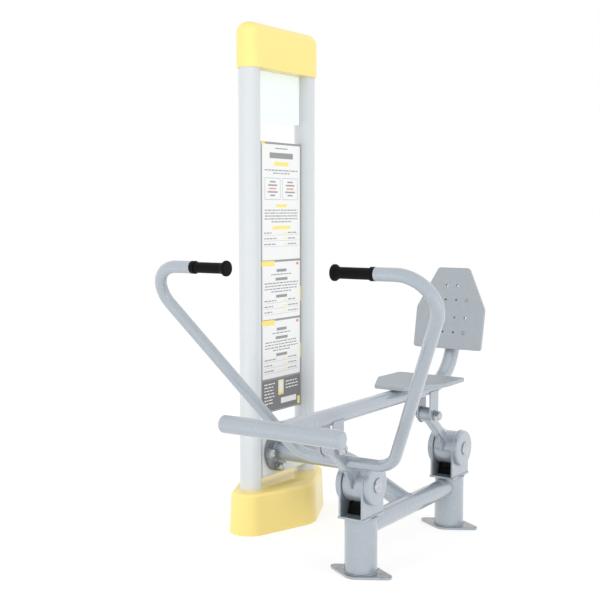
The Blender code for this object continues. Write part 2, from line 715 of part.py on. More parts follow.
def handle_half():
    """The right half of the handlebar's bends, from the grip inwards and down, in its own raked plane."""
    corners = [(HANDLE_END, 0), (HANDLE_TOP_HALF, 0), (HANDLE_LOW_HALF, -HANDLE_DROP), (0, -HANDLE_DROP)]
    return bent(corners, (HANDLE_TOP_R, HANDLE_LOW_R))[:-1]


def handle_top():
    """The grips' line, from the axle, as (y, z) at rest."""
    y, z = handle_on_arm()
    return y - HANDLE_DROP * math.sin(HANDLE_RAKE), z + HANDLE_DROP * math.cos(HANDLE_RAKE)


def handlebar(hinge, paint):
    top_y, top_z = handle_top()

    def raked(across, up):
        return Vector((across, top_y - up * math.sin(HANDLE_RAKE), top_z + up * math.cos(HANDLE_RAKE)))

    half = handle_half()
    path = [raked(x, up) for x, up in half] + [raked(-x, up) for x, up in reversed(half)]
    tip = HANDLE_END - SPIGOT_LENGTH
    root = HANDLE_END + HANDLE_WALL
    outer = [(raked(tip, 0), SPIGOT_R), (raked(HANDLE_END, 0), SPIGOT_R)]
    outer += [(point, HANDLE_R) for point in path]
    outer += [(raked(-HANDLE_END, 0), SPIGOT_R), (raked(-tip, 0), SPIGOT_R)]
    spigot_bore, bore = SPIGOT_R - SPIGOT_WALL, HANDLE_R - HANDLE_WALL
    inner = [(raked(tip, 0), spigot_bore), (raked(root, 0), spigot_bore), (raked(root, 0), bore)]
    inner += [(point, bore) for point in path[1:-1]]
    inner += [(raked(-root, 0), bore), (raked(-root, 0), spigot_bore), (raked(-tip, 0), spigot_bore)]
    across = (0, math.cos(HANDLE_RAKE), math.sin(HANDLE_RAKE))
    piece("handlebar", bent_tube(outer, inner, across, SMALL), paint, hinge)


def grips(hinge, rubber):
    start, end = HANDLE_END - GRIP_LENGTH, HANDLE_END - GAP
    steps = [math.pi / 2 * i / CORNER_STEPS for i in range(1, CORNER_STEPS + 1)]
    flange_start = GRIP_FLANGE_R - GRIP_EDGE_R
    profile = [(start, 0), (start, flange_start)]
    profile += [
        (start + GRIP_EDGE_R * (1 - math.cos(a)), flange_start + GRIP_EDGE_R * math.sin(a)) for a in steps
    ]
    profile += [(start + GRIP_FLANGE, GRIP_FLANGE_R), (start + GRIP_FLANGE + GRIP_FLARE, GRIP_R)]
    profile += [(end - GRIP_COLLAR, GRIP_R), (end - GRIP_COLLAR, GRIP_COLLAR_R), (end, GRIP_COLLAR_R)]
    bore_end = HANDLE_END - SPIGOT_LENGTH - GAP
    profile += [(end, SPIGOT_R + GAP), (bore_end, SPIGOT_R + GAP), (bore_end, 0)]
    shape = turned(profile, ROUND, closed=False)
    y, z = handle_top()
    piece("grip_right", shape, rubber, hinge, at=(0, y, z))
    piece("grip_left", shape, rubber, hinge, at=(0, y, z), turn=TURNED_ROUND)


# Carriage, from the front pin


def seat_beam(carriage, paint):
    tilt = Vector((math.sin(BACK_TILT), math.cos(BACK_TILT)))
    corner = Vector((BACK_REACH, FRAME_RISE))
    line = bent([(-FOOT_BAR_REACH, FRAME_RISE), tuple(corner), tuple(corner + tilt * BACK_LENGTH)], (BACK_BEND_R,))
    tube = plain_tube([(0, y, z) for y, z in line], FRAME_R, FRAME_WALL, (1, 0, 0))
    saddle = prism(circle(FRAME_R + GAP, FINE, (-FOOT_BAR_REACH, FRAME_RISE)), -FOOT_BAR_HALF, FOOT_BAR_HALF, "X")
    piece("seat_beam", fused(tube, cuts=[saddle]), paint, carriage)


def foot_bar(carriage, paint, plastic):
    at = (0, -FOOT_BAR_REACH, FRAME_RISE)
    piece("foot_bar", pipe(FRAME_R, FRAME_WALL, -FOOT_BAR_HALF, FOOT_BAR_HALF, "X"), paint, carriage, at=at)
    face = FOOT_BAR_HALF + GAP
    plug_r = FRAME_R - FRAME_WALL - GAP
    rim = FRAME_R - END_CAP_THICKNESS / 2
    profile = [(face - END_CAP_PLUG, 0), (face - END_CAP_PLUG, plug_r), (face, plug_r), (face, FRAME_R)]
    profile += [(face + END_CAP_THICKNESS / 2, FRAME_R), (face + END_CAP_THICKNESS, rim), (face + END_CAP_THICKNESS, 0)]
    shape = turned(profile, ROUND, closed=False)
    piece("foot_cap_right", shape, plastic, carriage, at=at)
    piece("foot_cap_left", shape, plastic, carriage, at=at, turn=TURNED_ROUND)


def ears(carriage, paint):
    """The plates that hang from the seat beam and hold the pins."""
    rise = FRAME_RISE - EAR_DROP
    low = [(EAR_R * math.cos(math.pi + a), EAR_R * math.sin(math.pi + a)) for a in half_turn(CORNER_STEPS * 2)]
    outline = [*low, (EAR_R, rise), (-EAR_R, rise)]
    bore = prism(circle(SMALL_SHANK_R + GAP, SMALL), EAR_IN - OVERRUN, EAR_OUT + OVERRUN, "X")
    saddle = prism(circle(FRAME_R + GAP, ROUND, (0, FRAME_RISE)), -FRAME_R - EAR_R, FRAME_R + EAR_R, "Y")
    shape = fused(prism(outline, EAR_IN, EAR_OUT, "X"), cuts=[bore, saddle])
    for where, y in (("front", 0), ("rear", ROCKER_SPACING)):
        piece(f"{where}_ear_right", shape, paint, carriage, at=(0, y, 0))
        piece(f"{where}_ear_left", shape, paint, carriage, at=(0, y, 0), turn=TURNED_ROUND)


def pins(carriage, steel, chrome):
    face = EAR_OUT + GAP
    tip = face + PIN_NUT_HEX * THREAD_SHARE
    pin = headed_bolt(SMALL_FLATS_HALF, SMALL_HEAD, SMALL_SHANK_R, -face, tip)
    nut = domed_nut(SMALL_FLATS_HALF, PIN_NUT_HEX, PIN_NUT_DOME, SMALL_SHANK_R)
    for where, y in (("front", 0), ("rear", ROCKER_SPACING)):
        piece(f"{where}_pin", pin, steel, carriage, at=(0, y, 0))
        piece(f"{where}_pin_nut", nut, chrome, carriage, at=(face, y, 0))


def six_sided(front, wide, rear):
    """The outline of the seat and of the backrest, from (half width, place) at its ends and its widest."""
    places = (rear, wide, front)
    right = [(half, place) for half, place in places]
    left = [(-half, place) for half, place in reversed(places)]
    corners = (PANEL_CORNER_R, PANEL_WIDE_R, PANEL_CORNER_R)
    return rounded(right + left, corners * 2)


def seat(carriage, paint, panel):
    outline = six_sided((SEAT_FRONT_HALF, SEAT_FRONT), (SEAT_WIDE_HALF, SEAT_WIDE), (SEAT_REAR_HALF, SEAT_REAR))
    piece("seat", prism(outline, 0, PANEL_THICKNESS, "Z"), panel, carriage, at=(0, 0, SEAT_Z))
    front, rear = SEAT_FRONT + SEAT_PLATE_MARGIN, SEAT_REAR - SEAT_PLATE_MARGIN
    outline = rectangle((-SEAT_PLATE_HALF_X, front), (SEAT_PLATE_HALF_X, rear))
    plate = prism(rounded(outline, (PLATE_CORNER_R,) * 4), 0, SEAT_PLATE_THICKNESS, "Z")
    piece("seat_plate", plate, paint, carriage, at=(0, 0, SEAT_PLATE_Z))


def backrest(back, panel):
    """The plank, with its rows of holes."""
    low, wide = (BACKREST_LOW_HALF, BACKREST_LOW), (BACKREST_WIDE_HALF, BACKREST_WIDE)
    outline = six_sided(low, wide, (BACKREST_TOP_HALF, BACKREST_TOP))
    face = -CHANNEL_FRONT - GAP
    plank = prism(outline, face - PANEL_THICKNESS, face, "Y")
    places = [(x, z) for z in HOLE_ROWS for x in (-HOLE_OUTER, -HOLE_INNER, HOLE_INNER, HOLE_OUTER)]
    places += [(-HOLE_INNER, HOLE_TOP_ROW), (HOLE_INNER, HOLE_TOP_ROW)]
    ends = face - PANEL_THICKNESS - OVERRUN, face + OVERRUN
    holes = [prism(circle(HOLE_R, SMALL // 2, place), *ends, "Y") for place in places]
    piece("backrest", fused(plank, cuts=holes), panel, back)


def back_channels(back, paint):
    """Channels between the back tube and the plank, open towards the tube."""
    half, web = CHANNEL_HEIGHT / 2, CHANNEL_FRONT - CHANNEL_WALL
    lip = half - CHANNEL_WALL
    rear = CHANNEL_FRONT - CHANNEL_DEPTH
    outline = [(-CHANNEL_FRONT, -half), (-rear, -half), (-rear, -lip), (-web, -lip)]
    outline += [(y, -z) for y, z in reversed(outline)]
    bar = prism(outline, -CHANNEL_HALF, CHANNEL_HALF, "X")
    reach = CHANNEL_FRONT + OVERRUN
    places = (-HOLE_OUTER, HOLE_OUTER)
    holes = [prism(circle(HOLE_R, SMALL // 2, (x, 0)), -reach, -rear + OVERRUN, "Y") for x in places]
    shape = fused(bar, cuts=holes)
    piece("back_channel_lower", shape, paint, back, at=(0, 0, HOLE_ROWS[0]))
    piece("back_channel_upper", shape, paint, back, at=(0, 0, HOLE_ROWS[-1]))


def back_tube_cap(back, plastic):
    steps = [math.pi / 2 * i / CORNER_STEPS for i in range(CORNER_STEPS)]
    plug_r = FRAME_R - FRAME_WALL - GAP
    profile = [(GAP - END_CAP_PLUG, 0), (GAP - END_CAP_PLUG, plug_r), (GAP, plug_r)]
    profile += [(GAP + TUBE_CAP_THICKNESS * math.sin(a), FRAME_R * math.cos(a)) for a in steps]
    profile += [(GAP + TUBE_CAP_THICKNESS, 0)]
    shape = moved(turned(profile, ROUND, closed=False), Matrix.Rotation(-math.pi / 2, 4, "Y"))
    piece("back_tube_cap", shape, plastic, back, at=(0, 0, BACK_LENGTH))


def main():
    for obj in list(bpy.data.objects):
        bpy.data.objects.remove(obj)

    unit_paint = material("unit_paint", 176, 186, 196, 0.42)
    pylon_paint = material("pylon_paint", 218, 222, 224, 0.40)
    yellow_paint = material("yellow_paint", 254, 229, 144, 0.38)
    header_paint = material("header_paint", 226, 233, 240, 0.35)
    board_print = material("board_print", 238, 239, 238, 0.30)
    panel = material("speckled_panel", 155, 165, 168, 0.60)
    rubber = material("black_rubber", 28, 28, 28, 0.65)
    plastic = material("grey_plastic", 168, 177, 186, 0.50)
    nylon = material("nylon", 226, 224, 216, 0.45)
    steel = material("zinc_steel", 150, 154, 158, 0.35, 1.0)
    chrome = material("chrome", 205, 207, 210, 0.10, 1.0)

    root = carrier("pylon", (0, 0, 0))
    stand = {
        "front": carrier("front_stand", (UNIT_X, FRONT_Y, 0), root),
        "rear": carrier("rear_stand", (UNIT_X, FRONT_Y + ROCKER_SPACING, 0), root),
    }
    hinges = {where: carrier(f"{where}_hinge", (0, 0, AXLE_Z), at) for where, at in stand.items()}
    carriage = carrier("carriage_hinge", (0, -PIN_FORWARD, PIN_RISE), hinges["front"])
    back = carrier("back_frame", (0, BACK_REACH, FRAME_RISE), carriage)
    back.rotation_euler = (-BACK_TILT, 0, 0)

    pylon_foot_plate(root, steel)
    pylon_posts(root, pylon_paint)
    base_cover(root, yellow_paint)
    pylon_cap(root, yellow_paint)
    pylon_panels(root, header_paint, board_print)
    mount_plates(root, pylon_paint)
    beam(root, unit_paint, steel, chrome)

    foot_plates(stand, unit_paint)
    posts(stand, unit_paint)
    lower_tube(stand, unit_paint)
    yokes(stand, unit_paint)
    discs(stand, plastic)
    axles(stand, steel, chrome)
    stops(stand, rubber)

    rockers(hinges, unit_paint, nylon)
    handlebar(hinges["front"], unit_paint)
    grips(hinges["front"], rubber)

    seat_beam(carriage, unit_paint)
    foot_bar(carriage, unit_paint, plastic)
    ears(carriage, unit_paint)
    pins(carriage, steel, chrome)
    seat(carriage, unit_paint, panel)
    backrest(back, panel)
    back_channels(back, unit_paint)
    back_tube_cap(back, plastic)


main()
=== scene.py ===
import math
import random

import bmesh
import bpy
from mathutils import Matrix, Vector


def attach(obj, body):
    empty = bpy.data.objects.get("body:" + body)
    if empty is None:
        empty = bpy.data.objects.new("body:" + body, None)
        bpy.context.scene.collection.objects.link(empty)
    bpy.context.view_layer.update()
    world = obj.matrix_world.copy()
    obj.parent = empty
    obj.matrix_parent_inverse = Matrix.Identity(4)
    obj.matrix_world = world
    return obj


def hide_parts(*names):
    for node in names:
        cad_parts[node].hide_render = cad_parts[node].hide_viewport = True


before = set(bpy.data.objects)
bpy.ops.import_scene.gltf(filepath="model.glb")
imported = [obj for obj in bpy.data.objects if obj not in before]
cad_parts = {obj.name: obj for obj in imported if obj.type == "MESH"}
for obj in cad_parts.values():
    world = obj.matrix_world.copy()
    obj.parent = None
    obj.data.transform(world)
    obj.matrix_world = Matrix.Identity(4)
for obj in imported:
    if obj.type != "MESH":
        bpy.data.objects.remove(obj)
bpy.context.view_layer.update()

# Sizes of the real object, in metres

TOUCH = 0.0003

PYLON_HEIGHT = 2.060
HALF_POSTS = 0.2005
UPRIGHT_R = 0.04445
UPRIGHT_LOW = 0.0103
UPRIGHT_HIGH = 1.968
CAP_BOTTOM = 1.878
CAP_WIDTH = 0.104
CAP_LENGTH = 0.499
CAP_PLAN_R = 0.050
CAP_TOP_R = 0.046
CAP_LIP_R = 0.002
HEADER_BOTTOM = 1.673
HEADER_THICKNESS = 0.004
BOARD_TOP = 1.592
BOARD_BOTTOM = 0.466
BOARD_THICKNESS = 0.020
PANEL_HALF_Y = 0.15575
COVER_HEIGHT = 0.168
COVER_END_X = 0.016
COVER_END_Y = 0.228
COVER_END_R = 0.083
COVER_SIDE_X = 0.030
COVER_SIDE_R = 0.140
COVER_DRAFT = 0.006
COVER_EDGE_R = 0.015
COVER_WALL = 0.004
MOUNT_IN = 0.018
MOUNT_OUT = 0.030
MOUNT_LOW = 0.205
MOUNT_HIGH = 0.405

UNIT_X = 0.659
BEAM_Y = -0.062
BEAM_R = 0.03805
BEAM_Z = 0.308
BEAM_LEVEL_REACH = 0.381
BEAM_BEND_R = 0.150
FLANGE_IN = 0.0303
FLANGE_OUT = 0.0423
FLANGE_R = 0.085
BOLT_CIRCLE_R = 0.0675
BOLT_HOLE_R = 0.0123
BOLT_R = 0.012

LOWER_TUBE_Z = 0.170
POST_R = 0.060
FOOT_THICKNESS = 0.010
FOOT_HALF_X = 0.1455
FOOT_HALF_Y = 0.086
FOOT_TIP_R = 0.020
FOOT_SIDE_R = 0.050
YOKE_HALF_X = 0.055
YOKE_HALF_Y = 0.075
YOKE_PLATE = 0.008
YOKE_SIDE_OUT = 0.050
YOKE_Z = 0.2125
YOKE_CORNER_R = 0.003
AXLE_Z = 0.333
STOP_HALF_X = 0.0400
STOP_LOW = 0.2208
STOP_HIGH = 0.262
STOP_LOW_HALF_Y = 0.0277
STOP_HIGH_HALF_Y = 0.0143
AXLE_R = 0.015
DISC_R = 0.073
DISC_IN = 0.0503
DISC_OUT = 0.0683
DISC_EDGE_R = 0.009
HUB_CAP_R = 0.0265
HUB_CAP_HEIGHT = 0.009

FRONT_Y = -0.426
SPACING = 0.724
ARM = 0.264
LEAN = math.radians(50.7)
SWING = math.radians(45)
HUB_R = 0.068
HUB_HALF = 0.041
HUB_EDGE = 0.002
ARM_BAR = 0.036
ARM_SHIFT = -0.0035
ARM_CORNER_R = 0.005
BARREL_R = 0.030
BARREL_HALF = 0.0238
GUSSET_THICKNESS = 0.008
GUSSET_TOP = 0.130
GUSSET_FOOT = 0.053
GUSSET_DEPTH = 0.051
HUB_BORE_R = 0.0206
PIN_BORE_R = 0.0176
STOP_ANGLE = math.radians(18)
LUG_HALF = 0.008
LUG_REACH = 0.086
LUG_WIDTH = 0.036
LUG_CORNER_R = 0.0015

HANDLE_R = 0.0212
HANDLE_ON_ARM = 0.1544
HANDLE_BEHIND_ARM = 0.007
HANDLE_RAKE = math.radians(30.4)
HANDLE_DROP = 0.796
HANDLE_TOP_HALF = 0.5924
HANDLE_LOW_HALF = 0.1887
HANDLE_TOP_R = 0.1076
HANDLE_LOW_R = 0.109
HANDLE_END = 0.3505
GRIP_LENGTH = 0.1495
GRIP_R = 0.018
GRIP_FLANGE_R = 0.026
GRIP_FLANGE = 0.010
GRIP_FLARE = 0.012
GRIP_COLLAR = 0.017
GRIP_COLLAR_R = 0.0216
SPIGOT_R = 0.014
GRIP_EDGES = (0.0045, 0.004, 0.008, 0.001, 0.0015, 0.001)

FRAME_R = 0.03015
FRAME_RISE = 0.108
FOOT_BAR_REACH = 0.3055
FOOT_BAR_HALF = 0.229
END_CAP = 0.005
END_CAP_R = 0.011
END_CAP_SPARE = 0.0002
BACK_REACH = 0.917
BACK_TILT = math.radians(11.2)
BACK_LENGTH = 0.374
BACK_BEND_R = 0.200
EAR_IN = 0.0241
EAR_OUT = 0.0304
EAR_R = 0.0345
EAR_DROP = 0.012
PIN_R = 0.012

# Nuts, heads, washers and screws: half across the flats, heights and radii

NUT_HALF = 0.018
HEAD_HEIGHT = 0.015
FLANGE_NUT_HEIGHT = 0.018
FLANGE_NUT_DOME = 0.012
PIN_NUT_HEIGHT = 0.022
PIN_NUT_DOME = 0.010
AXLE_HEAD_HALF = 0.023
AXLE_HEAD_HEIGHT = 0.0187
WASHER_R = 0.0215
FLANGE_WASHER = 0.0025
PIN_WASHER = 0.0022
HUB_RING = 0.0016
HUB_RING_RIM = 0.0015
HUB_CAP_RIM = 0.0015
HUB_CAP_LIFT = 0.0014
SCREW_R = 0.0075
SCREW_DOME = 0.0035
SCREW_SOCKET = [(0.0030, 0.0024), (0.0012, 0.0022), (0.0012, 0)]

# Seat, backrest and what carries them

PANEL_THICKNESS = 0.015
PANEL_CORNER_R = 0.013
PANEL_WIDE_R = 0.030
SEAT_PLACES = ((0.065, 0.410), (0.1504, 0.587), (0.1465, 0.756))
BACK_PLACES = ((0.150, 0.131), (0.1512, 0.299), (0.0678, 0.465))
SEAT_PLATE_Z = 0.13845
SEAT_PLATE_THICKNESS = 0.003
SEAT_PLATE_HALF_X = 0.070
SEAT_PLATE_FRONT = 0.480
SEAT_PLATE_REAR = 0.686
PLATE_CORNER_R = 0.015
SEAT_Z = 0.14175
BACK_FACE = 0.04445
HOLE_R = 0.004
FREE_HOLE_R = 0.0058
HOLE_INNER = 0.0235
HOLE_OUTER = 0.0705
HOLE_ROWS = (0.199, 0.260, 0.332)
HOLE_TOP_ROW = 0.391
CHANNEL_DEPTH = 0.0137
CHANNEL_HEIGHT = 0.034
CHANNEL_HALF = 0.100
CHANNEL_WALL = 0.003
TUBE_CAP = 0.012

# Facets and small edges

TUBE_SIDES = 80
ROUND_SIDES = 96
NUT_SIDES = 48
HOLE_SIDES = 24
CORNER_STEPS = 10
CAP_STEPS = 16
LIP_STEPS = 4
COVER_STEPS = 28
FOOT_STEPS = 14
BAR_STEPS = 6
SMALL_STEPS = 4
ARCH_STEPS = 40
EAR_STEPS = 24
HANDLE_SEAM_STEPS = 48
HUB_CAP_STEPS = 16
DOME_STEPS = 8
BEND_DEGREES = 3
SMOOTH_ANGLE = math.radians(32)
BEVEL_ANGLE = math.radians(40)
BEVEL_SEGMENTS = 3
PLATE_EDGE = 0.0012
THICK_EDGE = 0.0015
SHEET_EDGE = 0.0006
SMALL_EDGE = 0.001
STOP_EDGE = 0.002
SEAT_EDGE = 0.0025
BACK_EDGE = 0.0024
WELD_R = 0.0032
WELD_PITCH = 0.0036
WELD_STEP = 0.0009
WELD_RIPPLE = 0.14
WELD_SIDES = 10
SLIM_WELD = 0.9
SMALL_WELD = 0.8
FINE_WELD = 0.7
WELD_FEWEST_RINGS = 8
CHAMFER_SHARE = 0.985
CHAMFER_SLOPE = math.radians(30)
DOME_SHARE = 0.96


# Outlines: lists of points in a plane


def circle(radius, sides, centre=(0, 0)):
    turns = [math.tau * i / sides for i in range(sides)]
    return [(centre[0] + radius * math.cos(a), centre[1] + radius * math.sin(a)) for a in turns]


def quarter(steps):
    """The angles of a quarter turn."""
    return [math.pi / 2 * i / steps for i in range(steps + 1)]


def rectangle(low, high):
    return [low, (high[0], low[1]), high, (low[0], high[1])]


def arc_at(before, corner, after, radius, steps):
    """Points of the arc that rounds a corner."""
    before, corner, after = Vector(before), Vector(corner), Vector(after)
    back, ahead = (before - corner).normalized(), (after - corner).normalized()
    half = back.angle(ahead) / 2
    centre = corner + (back + ahead).normalized() * radius / math.sin(half)
    first = corner + back * radius / math.tan(half) - centre
    turn = -first.angle_signed(corner + ahead * radius / math.tan(half) - centre)
    return [tuple(centre + Matrix.Rotation(turn * i / steps, 2) @ first) for i in range(steps + 1)]


def rounded(points, radii, steps=CORNER_STEPS):
    """A closed outline with its corners rounded."""
    made = []
    for i, corner in enumerate(points):
        made += arc_at(points[i - 1], corner, points[(i + 1) % len(points)], radii[i], steps)
    return made


def bent(points, radii, step=BEND_DEGREES):
    """An open line with its inner corners bent in steps of so many degrees, or sharp for a radius of zero."""
    made = [points[0]]
    for before, corner, after, radius in zip(points, points[1:], points[2:], radii):
        turn = math.pi - (Vector(before) - Vector(corner)).angle(Vector(after) - Vector(corner))
        steps = math.ceil(turn / math.radians(step))
        made += arc_at(before, corner, after, radius, steps) if radius else [corner]
    return made + [points[-1]]


def belt(wheels, steps):
    """The outline of a belt run anticlockwise round wheels, each (centre, radius)."""
    leaving = []
    for (start, start_r), (end, end_r) in zip(wheels, wheels[1:] + wheels[:1]):
        along = Vector(end) - Vector(start)
        leaving.append(math.atan2(along.y, along.x) - math.acos((start_r - end_r) / along.length))
    made = []
    for i, ((x, y), radius) in enumerate(wheels):
        turn = (leaving[i] - leaving[i - 1]) % math.tau
        angles = [leaving[i - 1] + turn * j / steps for j in range(steps + 1)]
        made += [(x + radius * math.cos(a), y + radius * math.sin(a)) for a in angles]
    return made


def six_sided(places):
    """The outline of the seat and of the backrest, from (half width, place) at front, widest and rear."""
    front, wide, rear = places
    right = [rear, wide, front]
    left = [(-half, place) for half, place in reversed(right)]
    return rounded(right + left, (PANEL_CORNER_R, PANEL_WIDE_R, PANEL_CORNER_R) * 2)


# Meshes


def finished(bm):
    """The bmesh as a mesh that faces out and is smooth where it is round."""
    bmesh.ops.recalc_face_normals(bm, faces=bm.faces)
    mesh = bpy.data.meshes.new("shape")
    bm.to_mesh(mesh)
    bm.free()
    mesh.shade_smooth()
    mesh.set_sharp_from_angle(angle=SMOOTH_ANGLE)
    return mesh


def moved(mesh, matrix):
    mesh.transform(matrix)
    return mesh


def on_axis(axis, flat, along):
    """A point from its place in an outline's plane and its distance along the axis across it."""
    a, b = flat
    return {"X": (along, a, b), "Y": (a, along, b), "Z": (a, b, along)}[axis]


def bridge(bm, first, second):
    """Faces between two rings. A ring of one vertex is a point."""
    for i in range(max(len(first), len(second))):
        j = i + 1
        corners = [ring[k % len(ring)] for ring, k in ((first, i), (first, j), (second, j), (second, i))]
        bm.faces.new(dict.fromkeys(corners))


def stacked(bm, rings, looped=False):
    """A skin over rings of points, closed at both ends or looped back to its first ring."""
    made = [[bm.verts.new(point) for point in ring] for ring in rings]
    for first, second in zip(made, made[1:]):
        bridge(bm, first, second)
    if looped:
        bridge(bm, made[-1], made[0])
    else:
        for ring in (made[0], made[-1]):
            if len(ring) > 2:
                bm.faces.new(ring)


def plate(outline, low, high, axis, holes=()):
    """A flat plate drawn out along an axis, with holes right through it."""
    bm = bmesh.new()
    edges = []
    for loop in (outline, *holes):
        verts = [bm.verts.new(on_axis(axis, point, low)) for point in loop]
        edges += [bm.edges.new((verts[i - 1], verts[i])) for i in range(len(verts))]
    if holes:
        bmesh.ops.triangle_fill(bm, use_beauty=True, use_dissolve=True, edges=edges)
    else:
        bm.faces.new(bm.verts)
    drawn = bmesh.ops.extrude_face_region(bm, geom=bm.faces[:])["geom"]
    raised = [item for item in drawn if isinstance(item, bmesh.types.BMVert)]
    bmesh.ops.translate(bm, verts=raised, vec=on_axis(axis, (0, 0), high - low))
    return finished(bm)


def turned(profile, sides=ROUND_SIDES, looped=False):
    """A profile of (along X, radius) turned about X. An open one starts and ends on the axis."""
    bm = bmesh.new()
    rings = []
    for along, radius in profile:
        ring = circle(radius, sides) if radius else [(0, 0)]
        rings.append([on_axis("X", point, along) for point in ring])
    stacked(bm, rings, looped)
    return finished(bm)


def tube(path, radius, across, sides=TUBE_SIDES):
    """A round bar along a path that lies in the plane square to across."""
    bm = bmesh.new()
    points, across = [Vector(p) for p in path], Vector(across)
    rings = []
    for i, point in enumerate(points):
        back = (point - points[i - 1] if i else points[1] - point).normalized()
        ahead = (points[i + 1] - point if i + 1 < len(points) else back).normalized()
        side = across.cross(back + ahead).normalized()
        stretch = 1 / math.cos(back.angle(ahead) / 2)
        rings.append([point + across * a + side * b * stretch for a, b in circle(radius, sides)])
    stacked(bm, rings)
    return finished(bm)


def hood(ring, levels):
    """A block from its plan, ring(how far in), at each level of (how far in, height)."""
    bm = bmesh.new()
    stacked(bm, [[(x, y, z) for x, y in ring(distance)] for distance, z in levels])
    return finished(bm)


def round_top(high, edge_r, draft=0.0, steps=CORNER_STEPS):
    """The levels of a rounded top edge."""
    return [(draft + edge_r * (1 - math.cos(a)), high - edge_r * (1 - math.sin(a))) for a in quarter(steps)]


def bead(path, up, closed=True, radius=WELD_R):
    """A weld bead along a line, in small even ripples."""
    points = [Vector(p) for p in path]
    if closed:
        points.append(points[0])
    places, total = [0.0], 0.0
    for before, after in zip(points, points[1:]):
        total += (after - before).length
        places.append(total)
    count = max(WELD_FEWEST_RINGS, round(total / WELD_STEP))
    ripples = max(1, round(total / WELD_PITCH))
    line, sizes, at = [], [], 0
    for i in range(count if closed else count + 1):
        place = total * i / count
        while at + 2 < len(places) and places[at + 1] < place:
            at += 1
        share = (place - places[at]) / max(places[at + 1] - places[at], 1e-9)
        line.append(points[at].lerp(points[at + 1], share))
        sizes.append(radius * (1 + WELD_RIPPLE * math.cos(math.tau * ripples * i / count)))
    bm = bmesh.new()
    rings = []
    for i, (point, size) in enumerate(zip(line, sizes)):
        before = line[i - 1] if i or closed else point
        after = line[(i + 1) % len(line)] if i + 1 < len(line) or closed else point
        along = (after - before).normalized()
        side = along.cross(Vector(up)).normalized()
        rise = side.cross(along)
        rings.append([point + side * a + rise * b for a, b in circle(size, WELD_SIDES)])
    stacked(bm, rings, looped=closed)
    return finished(bm)


def ring_round(centre, radius, axis, steps=72):
    """A circle round an axis, as points in space."""
    middle = {"X": (centre[1], centre[2]), "Y": (centre[0], centre[2]), "Z": (centre[0], centre[1])}[axis]
    along = centre["XYZ".index(axis)]
    return [on_axis(axis, point, along) for point in circle(radius, steps, middle)]


def saddle(at, branch, main, radius, main_radius, steps=96):
    """The line where a round branch, pointing away from a round main tube, meets it. Their axes cross."""
    at, branch, main = Vector(at), Vector(branch).normalized(), Vector(main).normalized()
    flat = (main - branch * main.dot(branch)).normalized()
    high = branch.cross(flat)
    slope = branch.dot(main)
    made = []
    for i in range(steps):
        a = math.tau * i / steps
        offset = flat * radius * math.cos(a) + high * radius * math.sin(a)
        base = offset - main * offset.dot(main)
        run = branch - main * slope
        dot, run2 = base.dot(run), run.length_squared
        reach = (-dot + math.sqrt(max(0.0, dot * dot - run2 * (base.length_squared - main_radius**2)))) / run2
        made.append(at + offset + branch * reach)
    return made


# Fasteners


def hexagon_radius(flats_half, angle):
    return flats_half / math.cos(angle % (math.pi / 3) - math.pi / 6)


def hex_body(flats_half, height, tail):
    """A chamfered hexagon from zero along X, and the rings of (along, radius) that follow it."""
    turns = [math.tau * i / NUT_SIDES for i in range(NUT_SIDES)]
    wide = [hexagon_radius(flats_half, a) for a in turns]
    chamfer = flats_half * CHAMFER_SHARE
    fall = math.tan(CHAMFER_SLOPE)

    def ring(alongs, radii):
        return [(x, r * math.cos(a), r * math.sin(a)) for x, r, a in zip(alongs, radii, turns)]

    level = [chamfer] * NUT_SIDES
    rings = [ring([0] * NUT_SIDES, level)]
    rings.append(ring([(r - chamfer) * fall for r in wide], wide))
    rings.append(ring([height - (r - chamfer) * fall for r in wide], wide))
    rings.append(ring([height] * NUT_SIDES, level))
    for along, radius in tail:
        rings.append([(along, 0, 0)] if not radius else ring([along] * NUT_SIDES, [radius] * NUT_SIDES))
    bm = bmesh.new()
    stacked(bm, rings)
    return finished(bm)


def domed_nut(flats_half, height, dome):
    """A cap nut on the X axis with its face at zero."""
    dome_r = flats_half * DOME_SHARE
    tail = [(height + dome * math.sin(a), dome_r * math.cos(a)) for a in quarter(CORNER_STEPS)[:-1]]
    return hex_body(flats_half, height, tail + [(height + dome, 0)])


def bolt_head(flats_half, height):
    """A hexagon head on the X axis with its bearing face at zero, facing back."""
    return moved(hex_body(flats_half, height, ()), Matrix.Rotation(math.pi, 4, "Z"))


def washer(radius, bore, thickness):
    edge = thickness / 4
    corners = [(0, bore), (0, radius), (thickness, radius), (thickness, bore)]
    return turned(bent(corners, (edge, edge), step=30), NUT_SIDES * 2, looped=True)


# Node trees


def feed(tree, socket, value):
    """Sets a socket to a value, or links another socket into it."""
    if isinstance(value, bpy.types.NodeSocket):
        tree.links.new(value, socket)
    else:
        socket.default_value = value


def add(tree, kind, fed=None, **settings):
    """A node with its settings, and what each of its sockets is set or linked to."""
    made = tree.nodes.new(kind)
    for name, value in settings.items():
        setattr(made, name, value)
    for label, value in (fed or {}).items():
        feed(tree, made.inputs[label], value)
    return made


def calc(tree, operation, *values):
    """The result of a sum on values or sockets."""
    return add(tree, "ShaderNodeMath", dict(enumerate(values)), operation=operation).outputs[0]


def new_group(name, inputs, outputs):
    """A shader node group, from the starting value of each input and the kind of each output."""
    group = bpy.data.node_groups.new(name, "ShaderNodeTree")
    for label, value in inputs.items():
        kind = "Color" if isinstance(value, tuple) else "Float"
        socket = group.interface.new_socket(label, in_out="INPUT", socket_type=f"NodeSocket{kind}")
        socket.default_value = value
    for label, kind in outputs.items():
        group.interface.new_socket(label, in_out="OUTPUT", socket_type=f"NodeSocket{kind}")
    return group, add(group, "NodeGroupInput").outputs, add(group, "NodeGroupOutput").inputs


